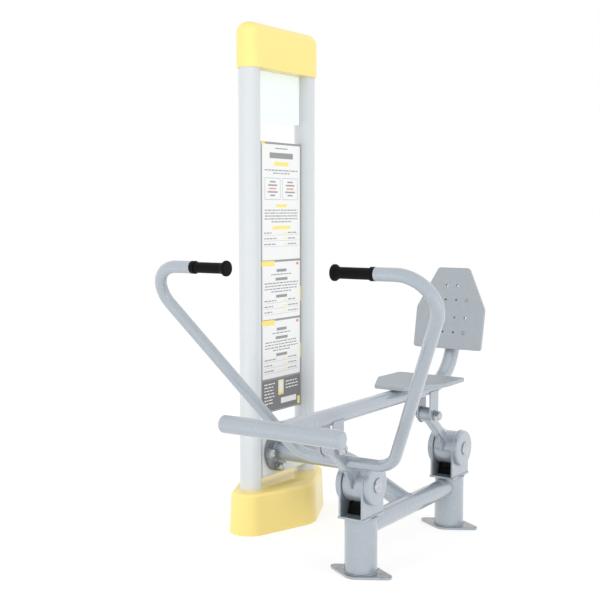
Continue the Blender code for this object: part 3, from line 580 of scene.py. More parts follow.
def noise(tree, place, scale, detail=2.0, roughness=0.5):
    """Noise at a number of ripples per metre."""
    fed = {"Vector": place, "Scale": scale, "Detail": detail, "Roughness": roughness}
    return add(tree, "ShaderNodeTexNoise", fed).outputs["Fac"]


def ramp_between(tree, value, low, high):
    """Zero below low, one above high."""
    fed = {"Value": value, "From Min": low, "From Max": high}
    return add(tree, "ShaderNodeMapRange", fed, interpolation_type="SMOOTHSTEP").outputs["Result"]


def mixed(tree, share, first, second):
    """One colour over another, each a socket or a colour."""
    return add(tree, "ShaderNodeMix", {0: share, 6: first, 7: second}, data_type="RGBA").outputs[2]


def object_place(tree):
    return add(tree, "ShaderNodeTexCoord").outputs["Object"]


def coating_group():
    """Paint, rubber or moulded plastic: cloudy colour, orange peel and fine grain."""
    group, inside, outside = new_group(
        "coating",
        {"Color": (0.5, 0.5, 0.5, 1.0), "Cloud": 0.03, "Roughness": 0.4, "Spread": 0.06,
         "Cloud Scale": 9.0, "Peel Scale": 260.0, "Grain Scale": 1500.0, "Peel": 1.0, "Grain": 0.2},
        {"Color": "Color", "Roughness": "Float", "Height": "Float"},
    )
    place = object_place(group)
    clouds = noise(group, place, inside["Cloud Scale"], 4.0, 0.55)
    peel = noise(group, place, inside["Peel Scale"], 1.0)
    grain = noise(group, place, inside["Grain Scale"], 2.0)
    swing = calc(group, "MULTIPLY", calc(group, "SUBTRACT", clouds, 0.5), inside["Cloud"])
    shade = calc(group, "MULTIPLY_ADD", swing, 2.0, 1.0)
    toned = add(group, "ShaderNodeVectorMath", {0: inside["Color"], "Scale": shade}, operation="SCALE")
    uneven = calc(group, "SUBTRACT", calc(group, "ADD", clouds, grain), 1.0)
    high = calc(group, "MULTIPLY", peel, inside["Peel"])
    feed(group, outside["Color"], toned.outputs[0])
    rough = calc(group, "MULTIPLY_ADD", uneven, inside["Spread"], inside["Roughness"])
    feed(group, outside["Roughness"], rough)
    feed(group, outside["Height"], calc(group, "MULTIPLY_ADD", grain, inside["Grain"], high))
    return group


def wear_group():
    """Paint rubbed thin along outer edges, and dark splashes on upward faces near the ground: light dust, and
    on the unit paint a heavy dark grey that is painted shade.
    """
    group, inside, outside = new_group(
        "wear_and_shade",
        {"Color": (0.5, 0.5, 0.5, 1.0), "Worn Color": (0.7, 0.7, 0.7, 1.0), "Edges": 0.3,
         "Dust Color": (0.3, 0.27, 0.23, 1.0), "Dust And Shade": 0.2, "Dust Height": 0.08},
        {"Color": "Color", "Mask": "Float"},
    )
    place = object_place(group)
    shape = add(group, "ShaderNodeNewGeometry").outputs
    corner = ramp_between(group, shape["Pointiness"], 0.60, 0.72)
    broken = ramp_between(group, noise(group, place, 120.0, 5.0, 0.7), 0.42, 0.62)
    rubbed = calc(group, "MULTIPLY", calc(group, "MULTIPLY", corner, broken), inside["Edges"])
    height = add(group, "ShaderNodeSeparateXYZ", {0: place}).outputs["Z"]
    low = calc(group, "SUBTRACT", 1.0, ramp_between(group, height, 0.0, inside["Dust Height"]))
    facing = add(group, "ShaderNodeSeparateXYZ", {0: shape["Normal"]}).outputs["Z"]
    flat = ramp_between(group, facing, 0.2, 0.9)
    splash = ramp_between(group, noise(group, place, 34.0, 6.0, 0.65), 0.40, 0.72)
    patchy = calc(group, "MULTIPLY_ADD", splash, 0.35, 0.65)
    lying = calc(group, "MULTIPLY_ADD", patchy, flat, calc(group, "MULTIPLY", splash, 0.15))
    # Darkens upward faces near the ground: light dust on the pylon paint and the cover, and with the unit
    # paint's values painted shade on the foot plates' tops.
    dust_and_shade = calc(group, "MULTIPLY", calc(group, "MULTIPLY", low, lying), inside["Dust And Shade"])
    rubbed_through = mixed(group, rubbed, inside["Color"], inside["Worn Color"])
    feed(group, outside["Color"], mixed(group, dust_and_shade, rubbed_through, inside["Dust Color"]))
    feed(group, outside["Mask"], calc(group, "MAXIMUM", rubbed, dust_and_shade))
    return group


def speckle_group():
    """A laminate's fine light and dark chips over its colour."""
    group, inside, outside = new_group(
        "speckle",
        {"Color": (0.35, 0.38, 0.39, 1.0), "Dark Color": (0.2, 0.22, 0.23, 1.0),
         "Light Color": (0.6, 0.62, 0.63, 1.0), "Scale": 620.0, "Dark Share": 0.16, "Light Share": 0.12},
        {"Color": "Color", "Height": "Float"},
    )
    fed = {"Vector": object_place(group), "Scale": inside["Scale"], "Randomness": 1.0}
    cells = add(group, "ShaderNodeTexVoronoi", fed).outputs
    chance = add(group, "ShaderNodeSeparateColor", {0: cells["Color"]}).outputs[0]
    near = calc(group, "SUBTRACT", 1.0, ramp_between(group, cells["Distance"], 0.25, 0.5))
    is_dark = calc(group, "LESS_THAN", chance, inside["Dark Share"])
    is_light = calc(group, "GREATER_THAN", chance, calc(group, "SUBTRACT", 1.0, inside["Light Share"]))
    dark = mixed(group, calc(group, "MULTIPLY", near, is_dark), inside["Color"], inside["Dark Color"])
    both = mixed(group, calc(group, "MULTIPLY", near, is_light), dark, inside["Light Color"])
    feed(group, outside["Color"], both)
    feed(group, outside["Height"], near)
    return group


def metal_group():
    """Fine drawn lines and faint smears on bare metal."""
    group, inside, outside = new_group(
        "metal_finish",
        {"Color": (0.6, 0.6, 0.6, 1.0), "Tarnish Color": (0.4, 0.4, 0.4, 1.0), "Tarnish": 0.2,
         "Roughness": 0.2, "Spread": 0.1, "Line Scale": 900.0, "Smear Scale": 40.0},
        {"Color": "Color", "Roughness": "Float", "Height": "Float"},
    )
    place = object_place(group)
    fed = {"Scale": (1.0, 0.06, 1.0), "Vector": place}
    drawn = add(group, "ShaderNodeMapping", fed, vector_type="TEXTURE").outputs[0]
    lines = noise(group, drawn, inside["Line Scale"], 2.0)
    smears = noise(group, place, inside["Smear Scale"], 4.0, 0.6)
    spotted = calc(group, "MULTIPLY", ramp_between(group, smears, 0.42, 0.72), inside["Tarnish"])
    uneven = calc(group, "SUBTRACT", calc(group, "ADD", lines, smears), 1.0)
    feed(group, outside["Color"], mixed(group, spotted, inside["Color"], inside["Tarnish Color"]))
    rough = calc(group, "MULTIPLY_ADD", uneven, inside["Spread"], inside["Roughness"])
    feed(group, outside["Roughness"], rough)
    feed(group, outside["Height"], lines)
    return group


COATING, WEAR_AND_SHADE, SPECKLE, METAL = coating_group(), wear_group(), speckle_group(), metal_group()
LOOKS = {}


def screen(red, green, blue):
    """A colour as it is written for a screen, 0 to 255, in the shader's own terms."""
    return (*[((c / 255 + 0.055) / 1.055) ** 2.4 for c in (red, green, blue)], 1.0)


def place_group(tree, group, fed):
    return add(tree, "ShaderNodeGroup", fed, node_tree=group).outputs


def bare_material(name, **sockets):
    """A new look: its node tree and its Principled shader, with the shader's even values set on it."""
    made = bpy.data.materials.new(name)
    made.use_nodes = True
    LOOKS[name] = made
    shader = made.node_tree.nodes["Principled BSDF"]
    for label, value in sockets.items():
        shader.inputs[label.replace("_", " ")].default_value = value
    return made.node_tree, shader


def surface(tree, shader, color, roughness, height, depth):
    """Links colour, roughness and a bump of a real depth in metres."""
    feed(tree, shader.inputs["Base Color"], color)
    feed(tree, shader.inputs["Roughness"], roughness)
    bump = add(tree, "ShaderNodeBump", {"Distance": depth, "Strength": 1.0, "Height": height})
    feed(tree, shader.inputs["Normal"], bump.outputs[0])


def painted(name, color, worn, finish, wear_and_shade, depth, **sockets):
    tree, shader = bare_material(name, **sockets)
    coat = place_group(tree, COATING, {"Color": color, **finish})
    used = place_group(tree, WEAR_AND_SHADE, {"Color": coat["Color"], "Worn Color": worn, **wear_and_shade})
    surface(tree, shader, used["Color"], coat["Roughness"], coat["Height"], depth)


def moulded(name, color, finish, depth, **sockets):
    tree, shader = bare_material(name, **sockets)
    coat = place_group(tree, COATING, {"Color": color, **finish})
    surface(tree, shader, coat["Color"], coat["Roughness"], coat["Height"], depth)


def laminate(name, color, dark, light, finish, depth):
    tree, shader = bare_material(name, Specular_IOR_Level=0.5)
    coat = place_group(tree, COATING, {"Color": color, **finish})
    chips = place_group(tree, SPECKLE, {"Color": coat["Color"], "Dark Color": dark, "Light Color": light})
    height = calc(tree, "MULTIPLY_ADD", chips["Height"], 0.35, coat["Height"])
    surface(tree, shader, chips["Color"], coat["Roughness"], height, depth)


def metal(name, color, tarnish, finish, depth):
    tree, shader = bare_material(name, Metallic=1.0)
    bare = place_group(tree, METAL, {"Color": color, "Tarnish Color": tarnish, **finish})
    surface(tree, shader, bare["Color"], bare["Roughness"], bare["Height"], depth)


LACQUER = {"Coat_Weight": 0.9, "Coat_Roughness": 0.07}
FINE_PRINT = {"Cloud": 0.03, "Roughness": 0.40, "Cloud Scale": 60.0, "Peel Scale": 400.0,
              "Grain Scale": 1500.0}

painted(
    "unit_paint", screen(168, 176, 184), screen(205, 212, 218),
    {"Cloud": 0.012, "Roughness": 0.27, "Spread": 0.04, "Peel Scale": 170.0, "Grain Scale": 1700.0,
     "Peel": 0.35, "Grain": 0.08},
    # The heavy dark grey dust here is painted shade on the foot plates' upward faces near the ground.
    {"Edges": 0.03, "Dust And Shade": 0.90, "Dust Height": 0.06, "Dust Color": screen(56, 59, 61)}, 0.000011,
    Metallic=0.36, **LACQUER,
)
painted(
    "pylon_paint", screen(211, 215, 217), screen(238, 240, 241),
    {"Cloud": 0.012, "Roughness": 0.34, "Spread": 0.06, "Peel Scale": 220.0, "Grain Scale": 1700.0,
     "Grain": 0.2},
    {"Edges": 0.2, "Dust And Shade": 0.10, "Dust Height": 0.20}, 0.00002, **LACQUER,
)
painted(
    "yellow_paint", screen(255, 230, 142), screen(255, 240, 184),
    {"Cloud": 0.012, "Roughness": 0.36, "Spread": 0.06, "Cloud Scale": 6.0, "Peel Scale": 160.0,
     "Grain Scale": 1400.0, "Grain": 0.15},
    {"Edges": 0.3, "Dust And Shade": 0.14, "Dust Height": 0.035}, 0.00003,
    Coat_Weight=0.8, Coat_Roughness=0.08, Specular_IOR_Level=0.0,
)
moulded(
    "header_paint", screen(243, 254, 254),
    {"Cloud": 0.012, "Roughness": 0.30, "Peel Scale": 180.0, "Grain Scale": 1200.0, "Grain": 0.15}, 0.00004,
)
moulded(
    "board_print", screen(241, 241, 239),
    {"Cloud": 0.010, "Roughness": 0.34, "Peel Scale": 90.0, "Grain Scale": 900.0, "Grain": 0.3}, 0.00003,
)
moulded(
    "board_border", screen(150, 151, 151),
    {"Cloud": 0.02, "Roughness": 0.38, "Peel Scale": 120.0, "Grain Scale": 900.0, "Grain": 0.3}, 0.00003,
)
moulded(
    "board_ink", screen(150, 151, 152),
    {**FINE_PRINT, "Cloud": 0.05, "Roughness": 0.42, "Cloud Scale": 80.0}, 0.00002,
)
moulded("board_accent", screen(250, 230, 130), FINE_PRINT, 0.00002)
moulded("board_stamp", screen(236, 150, 140), FINE_PRINT, 0.00002)
moulded(
    "board_dark", screen(118, 119, 120),
    {**FINE_PRINT, "Roughness": 0.38, "Peel Scale": 120.0, "Grain Scale": 900.0}, 0.00002,
)
# A darker copy of the zinc steel, partly painted shade: it darkens the flange disc and makes the thin ring
# round each hub cap a painted shadow.
metal(
    "dark_steel_and_shade", screen(158, 161, 163), screen(122, 124, 127),
    {"Tarnish": 0.5, "Roughness": 0.42, "Spread": 0.14, "Line Scale": 500.0, "Smear Scale": 60.0}, 0.00004,
)
laminate(
    "speckled_panel", screen(164, 171, 176), screen(136, 144, 148), screen(184, 191, 194),
    {"Cloud": 0.05, "Roughness": 0.46, "Spread": 0.10, "Cloud Scale": 60.0, "Peel Scale": 700.0,
     "Grain Scale": 2600.0, "Peel": 0.8, "Grain": 0.5}, 0.00007,
)
# Black rubber for the grips and the stop blocks; on the rocker's lugs it is painted shade.
moulded(
    "black_rubber", screen(11, 11, 12),
    {"Cloud": 0.12, "Roughness": 0.58, "Spread": 0.14, "Cloud Scale": 30.0, "Peel Scale": 900.0,
     "Grain Scale": 3200.0, "Peel": 0.8, "Grain": 0.6}, 0.00010, Specular_IOR_Level=0.12,
)
moulded(
    "grey_plastic", screen(168, 177, 185),
    {"Cloud": 0.02, "Roughness": 0.30, "Spread": 0.08, "Cloud Scale": 14.0, "Peel Scale": 700.0,
     "Grain Scale": 2600.0, "Peel": 0.7, "Grain": 0.3}, 0.00002, Metallic=0.35, **LACQUER,
)
moulded(
    "nylon", screen(222, 220, 210),
    {"Cloud": 0.04, "Roughness": 0.45, "Cloud Scale": 30.0, "Peel Scale": 500.0, "Grain Scale": 2200.0},
    0.00004, Subsurface_Weight=0.1, Subsurface_Scale=0.002,
)
metal(
    "zinc_steel", screen(176, 180, 184), screen(128, 132, 136),
    {"Tarnish": 0.5, "Roughness": 0.34, "Spread": 0.16, "Line Scale": 700.0, "Smear Scale": 70.0}, 0.00004,
)
metal(
    "chrome", screen(200, 203, 207), screen(120, 124, 130),
    {"Tarnish": 0.3, "Roughness": 0.05, "Spread": 0.04, "Line Scale": 1500.0, "Smear Scale": 90.0}, 0.000006,
)


def piece(name, mesh, look, body, *nodes, at=Matrix(), edge=0.0):
    """One visible piece, riding on its body and standing for the nodes that it is named with."""
    made = bpy.data.objects.new(name, moved(mesh, at))
    bpy.context.collection.objects.link(made)
    mesh.materials.append(LOOKS[look])
    if edge:
        bevel = made.modifiers.new("edges", "BEVEL")
        bevel.width = edge
        bevel.segments = BEVEL_SEGMENTS
        bevel.limit_method = "ANGLE"
        bevel.angle_limit = BEVEL_ANGLE
        bevel.harden_normals = True
    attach(made, body)
    if nodes:
        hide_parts(*nodes)


def seam(name, path, up, body="stand", at=Matrix(), closed=True, share=1.0, look="unit_paint"):
    """A weld bead along a line, at a share of the usual size."""
    piece(name, bead(path, up, closed, WELD_R * share), look, body, at=at)


def shift(x, y, z):
    return Matrix.Translation((x, y, z))


TURNED_ROUND = Matrix.Rotation(math.pi, 4, "Z")
BOTH_SIDES = (("right", Matrix()), ("left", TURNED_ROUND))


# Pylon


def uprights():
    for where, y in (("front", -HALF_POSTS), ("rear", HALF_POSTS)):
        line = [(0, y, UPRIGHT_LOW), (0, y, UPRIGHT_HIGH)]
        shape = tube(line, UPRIGHT_R, (0, 1, 0), ROUND_SIDES)
        piece(f"{where}_upright", shape, "pylon_paint", "stand", f"pylon_post_{where}")


def cap_ring(distance):
    half_x, half_y = CAP_WIDTH / 2 - distance, CAP_LENGTH / 2 - distance
    radius = CAP_PLAN_R - distance
    return rounded(rectangle((-half_x, -half_y), (half_x, half_y)), (radius,) * 4, CAP_STEPS)


def cap():
    turns = quarter(LIP_STEPS)
    lip = [(CAP_LIP_R * (1 - math.sin(a)), CAP_BOTTOM + CAP_LIP_R * (1 - math.cos(a))) for a in turns]
    shape = hood(cap_ring, lip + round_top(PYLON_HEIGHT, CAP_TOP_R, 0.0, CAP_STEPS))
    piece("cap_shell", shape, "yellow_paint", "stand", "pylon_cap")


def cover_ring(distance):
    side_r, end_r = COVER_SIDE_R - distance, COVER_END_R - distance
    half = [((COVER_SIDE_X, 0), side_r), ((-COVER_END_X, COVER_END_Y), end_r)]
    return belt(half + [((-x, -y), radius) for (x, y), radius in half], COVER_STEPS)


def cover():
    """The base cover, with a wall: down its outside and up its inside."""
    outside = [(0, 0)] + round_top(COVER_HEIGHT, COVER_EDGE_R, COVER_DRAFT)
    inside = [(0, 0)] + round_top(COVER_HEIGHT - COVER_WALL, COVER_EDGE_R - COVER_WALL, COVER_DRAFT)
    levels = outside[::-1] + [(distance + COVER_WALL, z) for distance, z in inside]
    piece("cover_shell", hood(cover_ring, levels), "yellow_paint", "stand", "base_cover")


def header():
    half = HEADER_THICKNESS / 2
    outline = rectangle((-PANEL_HALF_Y, HEADER_BOTTOM), (PANEL_HALF_Y, CAP_BOTTOM - TOUCH))
    sheet = plate(outline, -half, half, "X")
    piece("header_sheet", sheet, "header_paint", "stand", "header_panel", edge=SHEET_EDGE)


# Information board: sheets with plain bars where a real one has words

SHEET_RAISE = 0.0006
INK_RAISE = 0.0009
BOARD_LEFT = 0.026
BOARD_RIGHT = 0.008
BOARD_WIDTH = 2 * PANEL_HALF_Y
BOARD_MIDDLE = (BOARD_LEFT + 2 * PANEL_HALF_Y - BOARD_RIGHT) / 2
SHEET_END = BOARD_WIDTH - BOARD_RIGHT
TEXT_INSET = 0.014
LINE_HEIGHT = 0.0046
LINE_PITCH = 0.0120
ROW_PITCH = 0.0235
FRAME_RULE = 0.0015
FRAME_HALF = 0.056
FRAME_TALL = 0.090
BAR_HALVES = (0.020, 0.032, 0.026, 0.036, 0.018)
PALE_PITCH = 0.0135
SHEETS = ((0.009, 0.487), (0.496, 0.734), (0.743, 0.982))
LOWER_FIELD = (0.990, 1.118)
INK_LOOKS = {"white": "board_print", "ink": "board_ink", "mark": "board_accent", "stamp": "board_stamp",
             "dark": "board_dark"}


class Print:
    """What is printed on one face of the board, measured from its left edge and down from its top."""

    def __init__(self, side):
        self.side = side
        self.rng = random.Random(11)
        self.inks = {name: bmesh.new() for name in INK_LOOKS}

    def field(self, ink, left, right, top, bottom, raised=INK_RAISE):
        """A thin raised field."""
        bm, face, corners = self.inks[ink], BOARD_THICKNESS / 2, []
        for x in (face - TOUCH, face + raised):
            for u, v in rectangle((left, top), (right, bottom)):
                place = (self.side * x, self.side * (u - PANEL_HALF_Y), BOARD_TOP - v)
                corners.append(bm.verts.new(place))
        low, high = corners[:4], corners[4:]
        bm.faces.new(low)
        bm.faces.new(high)
        bridge(bm, low, high)

    def line(self, ink, left, right, top):
        """A broken bar, as a line of small print looks from a step away."""
        u = left
        while u < right - LINE_HEIGHT:
            width = min(self.rng.uniform(0.010, 0.028), right - u)
            self.field(ink, u, u + width, top, top + LINE_HEIGHT)
            u += width + self.rng.uniform(0.004, 0.006)

    def centred(self, ink, half, top, height):
        self.field(ink, BOARD_MIDDLE - half, BOARD_MIDDLE + half, top, top + height)

    def block(self, count, top):
        """Centred lines of small print, the last one short."""
        for i in range(count):
            half = self.rng.uniform(0.118, 0.124) if i + 1 < count else self.rng.uniform(0.06, 0.08)
            self.line("ink", BOARD_MIDDLE - half, BOARD_MIDDLE + half, top + i * LINE_PITCH)
        return top + count * LINE_PITCH

    def rows(self, count, top):
        """Rows in two columns, ruled off."""
        left, right = BOARD_LEFT + TEXT_INSET, SHEET_END - TEXT_INSET
        for i in range(count):
            v = top + i * ROW_PITCH
            self.line("ink", left, left + self.rng.uniform(0.05, 0.09), v)
            self.line("mark", BOARD_MIDDLE + 0.015, BOARD_MIDDLE + 0.040, v)
            self.line("ink", BOARD_MIDDLE + 0.048, right - self.rng.uniform(0.0, 0.02), v)
            self.field("ink", left, right, v + 0.0115, v + 0.0123)

    def framed(self, middle, top):
        """A ruled frame with bars in it."""
        low = top + FRAME_TALL - FRAME_RULE
        for start, end in ((top, top + FRAME_RULE), (low, top + FRAME_TALL)):
            self.field("ink", middle - FRAME_HALF, middle + FRAME_HALF, start, end)
        for u in (middle - FRAME_HALF, middle + FRAME_HALF - FRAME_RULE):
            self.field("ink", u, u + FRAME_RULE, top + FRAME_RULE, low)
        for i, half in enumerate(BAR_HALVES):
            start = top + 0.013 + i * 0.014
            self.field("stamp" if i == 2 else "ink", middle - half, middle + half, start, start + 0.006)

    def tall_sheet(self, top):
        """The first sheet: headings, two frames with bars, print and rows."""
        self.centred("ink", 0.045, top + 0.014, 0.0040)
        self.centred("ink", 0.085, top + 0.034, 0.0230)
        self.centred("mark", 0.052, top + 0.071, 0.0170)
        v = self.block(2, top + 0.104) + 0.010
        for middle in (BOARD_MIDDLE - 0.064, BOARD_MIDDLE + 0.064):
            self.framed(middle, v)
        v += 0.108
        self.centred("mark", 0.040, v, 0.0130)
        v = self.block(5, v + 0.023) + 0.008
        self.centred("mark", 0.066, v, 0.0140)
        self.rows(3, v + 0.026)

    def short_sheet(self, top):
        """A lower sheet: marks over two corners, headings, print and rows."""
        self.field("mark", BOARD_LEFT - 0.004, BOARD_LEFT + 0.088, top - 0.006, top + 0.016)
        self.field("stamp", SHEET_END - 0.030, SHEET_END - 0.010, top + 0.006, top + 0.016)
        self.centred("ink", 0.036, top + 0.030, 0.0120)
        v = self.block(1, top + 0.050) + 0.004
        self.centred("ink", 0.044, v, 0.0120)
        v = self.block(4, v + 0.020) + 0.004
        self.centred("ink", 0.040, v, 0.0120)
        self.rows(3, v + 0.021)

    def lower_field(self, low, high):
        """The dark field at the foot of the board: pale print, a framed block and a plain one."""
        middle, rng = BOARD_MIDDLE, self.rng
        self.field("dark", BOARD_LEFT, SHEET_END, low, high, SHEET_RAISE)
        for i in range(7):
            top = low + 0.014 + i * PALE_PITCH
            self.line("white", BOARD_LEFT + 0.012, BOARD_LEFT + 0.070 + rng.uniform(0, 0.02), top)
        self.field("mark", middle - 0.026, middle + 0.014, low + 0.006, low + 0.070)
        self.field("white", middle - 0.022, middle + 0.010, low + 0.010, low + 0.060, INK_RAISE + TOUCH)
        for i in range(3):
            self.line("white", middle + 0.030, SHEET_END - 0.016, low + 0.016 + i * PALE_PITCH)
        self.field("white", middle - 0.006, SHEET_END - 0.030, low + 0.084, low + 0.108)
        self.field("mark", SHEET_END - 0.020, SHEET_END - 0.002, low + 0.094, high - 0.002)


def info_board():
    half = BOARD_THICKNESS / 2
    outline = rectangle((-PANEL_HALF_Y, BOARD_BOTTOM), (PANEL_HALF_Y, BOARD_TOP))
    core = plate(outline, -half, half, "X")
    piece("board_core", core, "board_border", "stand", "info_board", edge=THICK_EDGE)
    for side, where in ((1, "right"), (-1, "left")):
        face = Print(side)
        for top, bottom in SHEETS:
            face.field("white", BOARD_LEFT, SHEET_END, top, bottom, SHEET_RAISE)
        face.tall_sheet(SHEETS[0][0])
        for top, _ in SHEETS[1:]:
            face.short_sheet(top)
            face.field("mark", SHEET_END + 0.001, BOARD_WIDTH - 0.001, top + 0.110, top + 0.175, SHEET_RAISE)
        face.field("mark", BOARD_LEFT - 0.004, BOARD_LEFT + 0.020, 0.002, SHEETS[0][0] + 0.004)
        face.lower_field(*LOWER_FIELD)
        for name, look in INK_LOOKS.items():
            piece(f"board_{name}_{where}", finished(face.inks[name]), look, "stand")


# Beam from the pylon to the unit


def bolt_places():
    return circle(BOLT_CIRCLE_R, 4, (BEAM_Y, BEAM_Z))


def mount_plates():
    half_y = HALF_POSTS - math.sqrt(UPRIGHT_R**2 - MOUNT_IN**2) - TOUCH
    seam_y = HALF_POSTS - math.sqrt(UPRIGHT_R**2 - MOUNT_OUT**2)
    seam_x = MOUNT_OUT - WELD_R / 2
    outline = rectangle((-half_y, MOUNT_LOW), (half_y, MOUNT_HIGH))
    holes = [circle(BOLT_HOLE_R, HOLE_SIDES, place) for place in bolt_places()]
    for where, at in BOTH_SIDES:
        face = plate(outline, MOUNT_IN, MOUNT_OUT, "X", holes)
        node = f"mount_plate_{where}"
        piece(f"mount_face_{where}", face, "pylon_paint", "stand", node, at=at, edge=PLATE_EDGE)
        for end, y in (("front", -seam_y), ("rear", seam_y)):
            line = [(seam_x, y, MOUNT_LOW), (seam_x, y, MOUNT_HIGH)]
            seam(f"mount_seam_{where}_{end}", line, (1, 0, 0), at=at, closed=False, look="pylon_paint")


def beam():
    corners = [(FLANGE_IN, 0), (FLANGE_IN, FLANGE_R), (FLANGE_OUT, FLANGE_R), (FLANGE_OUT, 0)]
    disc = turned(bent(corners, (THICK_EDGE, THICK_EDGE), step=18))
    # The flange disc's darker steel is partly painted shade.
    piece("flange_disc", disc, "dark_steel_and_shade", "stand", "beam_flange", at=shift(0, BEAM_Y, BEAM_Z))
    corners = [(FLANGE_OUT - THICK_EDGE, BEAM_Z), (BEAM_LEVEL_REACH, BEAM_Z), (UNIT_X, LOWER_TUBE_Z)]
    line = [(x, BEAM_Y, z) for x, z in bent(corners, (BEAM_BEND_R,))]
    piece("beam_tube", tube(line, BEAM_R, (0, 1, 0)), "unit_paint", "stand", "beam")
    seam("beam_seam_flange", ring_round((FLANGE_OUT, BEAM_Y, BEAM_Z), BEAM_R, "X"), (1, 0, 0))
    away = (BEAM_LEVEL_REACH - UNIT_X, 0, BEAM_Z - LOWER_TUBE_Z)
    seam("beam_seam_unit", saddle((UNIT_X, BEAM_Y, LOWER_TUBE_Z), away, (0, 1, 0), BEAM_R, BEAM_R), away)
    for i, (y, z) in enumerate(bolt_places(), start=1):
        nut = domed_nut(NUT_HALF, FLANGE_NUT_HEIGHT, FLANGE_NUT_DOME)
        at = shift(FLANGE_OUT + TOUCH, y, z)
        piece(f"flange_nut_{i}", nut, "chrome", "stand", f"flange_bolt_{i}", at=at)
        ring = washer(WASHER_R, BOLT_R, FLANGE_WASHER)
        piece(f"flange_washer_{i}", ring, "zinc_steel", "stand", at=shift(FLANGE_OUT, y, z))
        head = bolt_head(NUT_HALF, HEAD_HEIGHT)
        piece(f"flange_head_{i}", head, "zinc_steel", "stand", at=shift(MOUNT_IN - TOUCH, y, z))


# Stand


def stand_at(where):
    return FRONT_Y if where == "front" else FRONT_Y + SPACING


def feet(where):
    y = stand_at(where)
    corners = [(FOOT_HALF_X, 0), (0, FOOT_HALF_Y), (-FOOT_HALF_X, 0), (0, -FOOT_HALF_Y)]
    foot = plate(rounded(corners, (FOOT_TIP_R, FOOT_SIDE_R) * 2, FOOT_STEPS), 0, FOOT_THICKNESS, "Z")
    at = shift(UNIT_X, y, 0)
    piece(f"{where}_foot", foot, "unit_paint", "stand", f"{where}_foot_plate", at=at, edge=THICK_EDGE)
    line = [(UNIT_X, y, FOOT_THICKNESS - PLATE_EDGE), (UNIT_X, y, YOKE_Z + PLATE_EDGE)]
    column = tube(line, POST_R, (0, 1, 0), ROUND_SIDES)
    piece(f"{where}_column", column, "unit_paint", "stand", f"{where}_post")
    for label, z in (("foot", FOOT_THICKNESS), ("head", YOKE_Z)):
        seam(f"{where}_column_seam_{label}", ring_round((UNIT_X, y, z), POST_R, "Z"), (0, 0, 1))


def lower_tube():
    line = [(UNIT_X, FRONT_Y, LOWER_TUBE_Z), (UNIT_X, FRONT_Y + SPACING, LOWER_TUBE_Z)]
    piece("lower_tie", tube(line, BEAM_R, (1, 0, 0)), "unit_paint", "stand", "lower_tube")
    for where, away in (("front", (0, 1, 0)), ("rear", (0, -1, 0))):
        at = (UNIT_X, stand_at(where), LOWER_TUBE_Z)
        seam(f"lower_tie_seam_{where}", saddle(at, away, (0, 0, 1), BEAM_R, POST_R), away)


def yoke(where):
    at = shift(UNIT_X, stand_at(where), 0)
    floor_z = YOKE_Z + YOKE_PLATE
    outline = rectangle((-YOKE_HALF_X, -YOKE_HALF_Y), (YOKE_HALF_X, YOKE_HALF_Y))
    outline = rounded(outline, (YOKE_CORNER_R,) * 4, SMALL_STEPS)
    base = plate(outline, YOKE_Z, floor_z, "Z")
    piece(f"{where}_yoke_base", base, "unit_paint", "stand", f"{where}_yoke", at=at, edge=PLATE_EDGE)
    top = [math.pi * i / ARCH_STEPS for i in range(ARCH_STEPS + 1)]
    side = [(-YOKE_HALF_Y, floor_z - TOUCH), (YOKE_HALF_Y, floor_z - TOUCH)]
    side += [(YOKE_HALF_Y * math.cos(a), AXLE_Z + YOKE_HALF_Y * math.sin(a)) for a in top]
    for label, inner in (("left", -YOKE_SIDE_OUT), ("right", YOKE_SIDE_OUT - YOKE_PLATE)):
        wall = plate(side, inner, inner + YOKE_PLATE, "X")
        piece(f"{where}_yoke_{label}", wall, "unit_paint", "stand", at=at, edge=PLATE_EDGE)
    reach = YOKE_HALF_Y - WELD_R * 2
    for label, x in (("left", -YOKE_SIDE_OUT), ("right", YOKE_SIDE_OUT)):
        line = [(UNIT_X + x, stand_at(where) + y, floor_z) for y in (-reach, reach)]
        seam(f"{where}_yoke_seam_{label}", line, (1, 0, 0), closed=False, share=SMALL_WELD)


def stop(where):
    """The rubber block that the rocker's lugs land on."""
    outline = [(-STOP_LOW_HALF_Y, STOP_LOW), (STOP_LOW_HALF_Y, STOP_LOW), (STOP_HIGH_HALF_Y, STOP_HIGH),
               (-STOP_HIGH_HALF_Y, STOP_HIGH)]
    block = plate(outline, -STOP_HALF_X, STOP_HALF_X, "X")
    at = shift(UNIT_X, stand_at(where), 0)
    piece(f"{where}_stop_block", block, "black_rubber", "stand", f"{where}_stop", at=at, edge=STOP_EDGE)


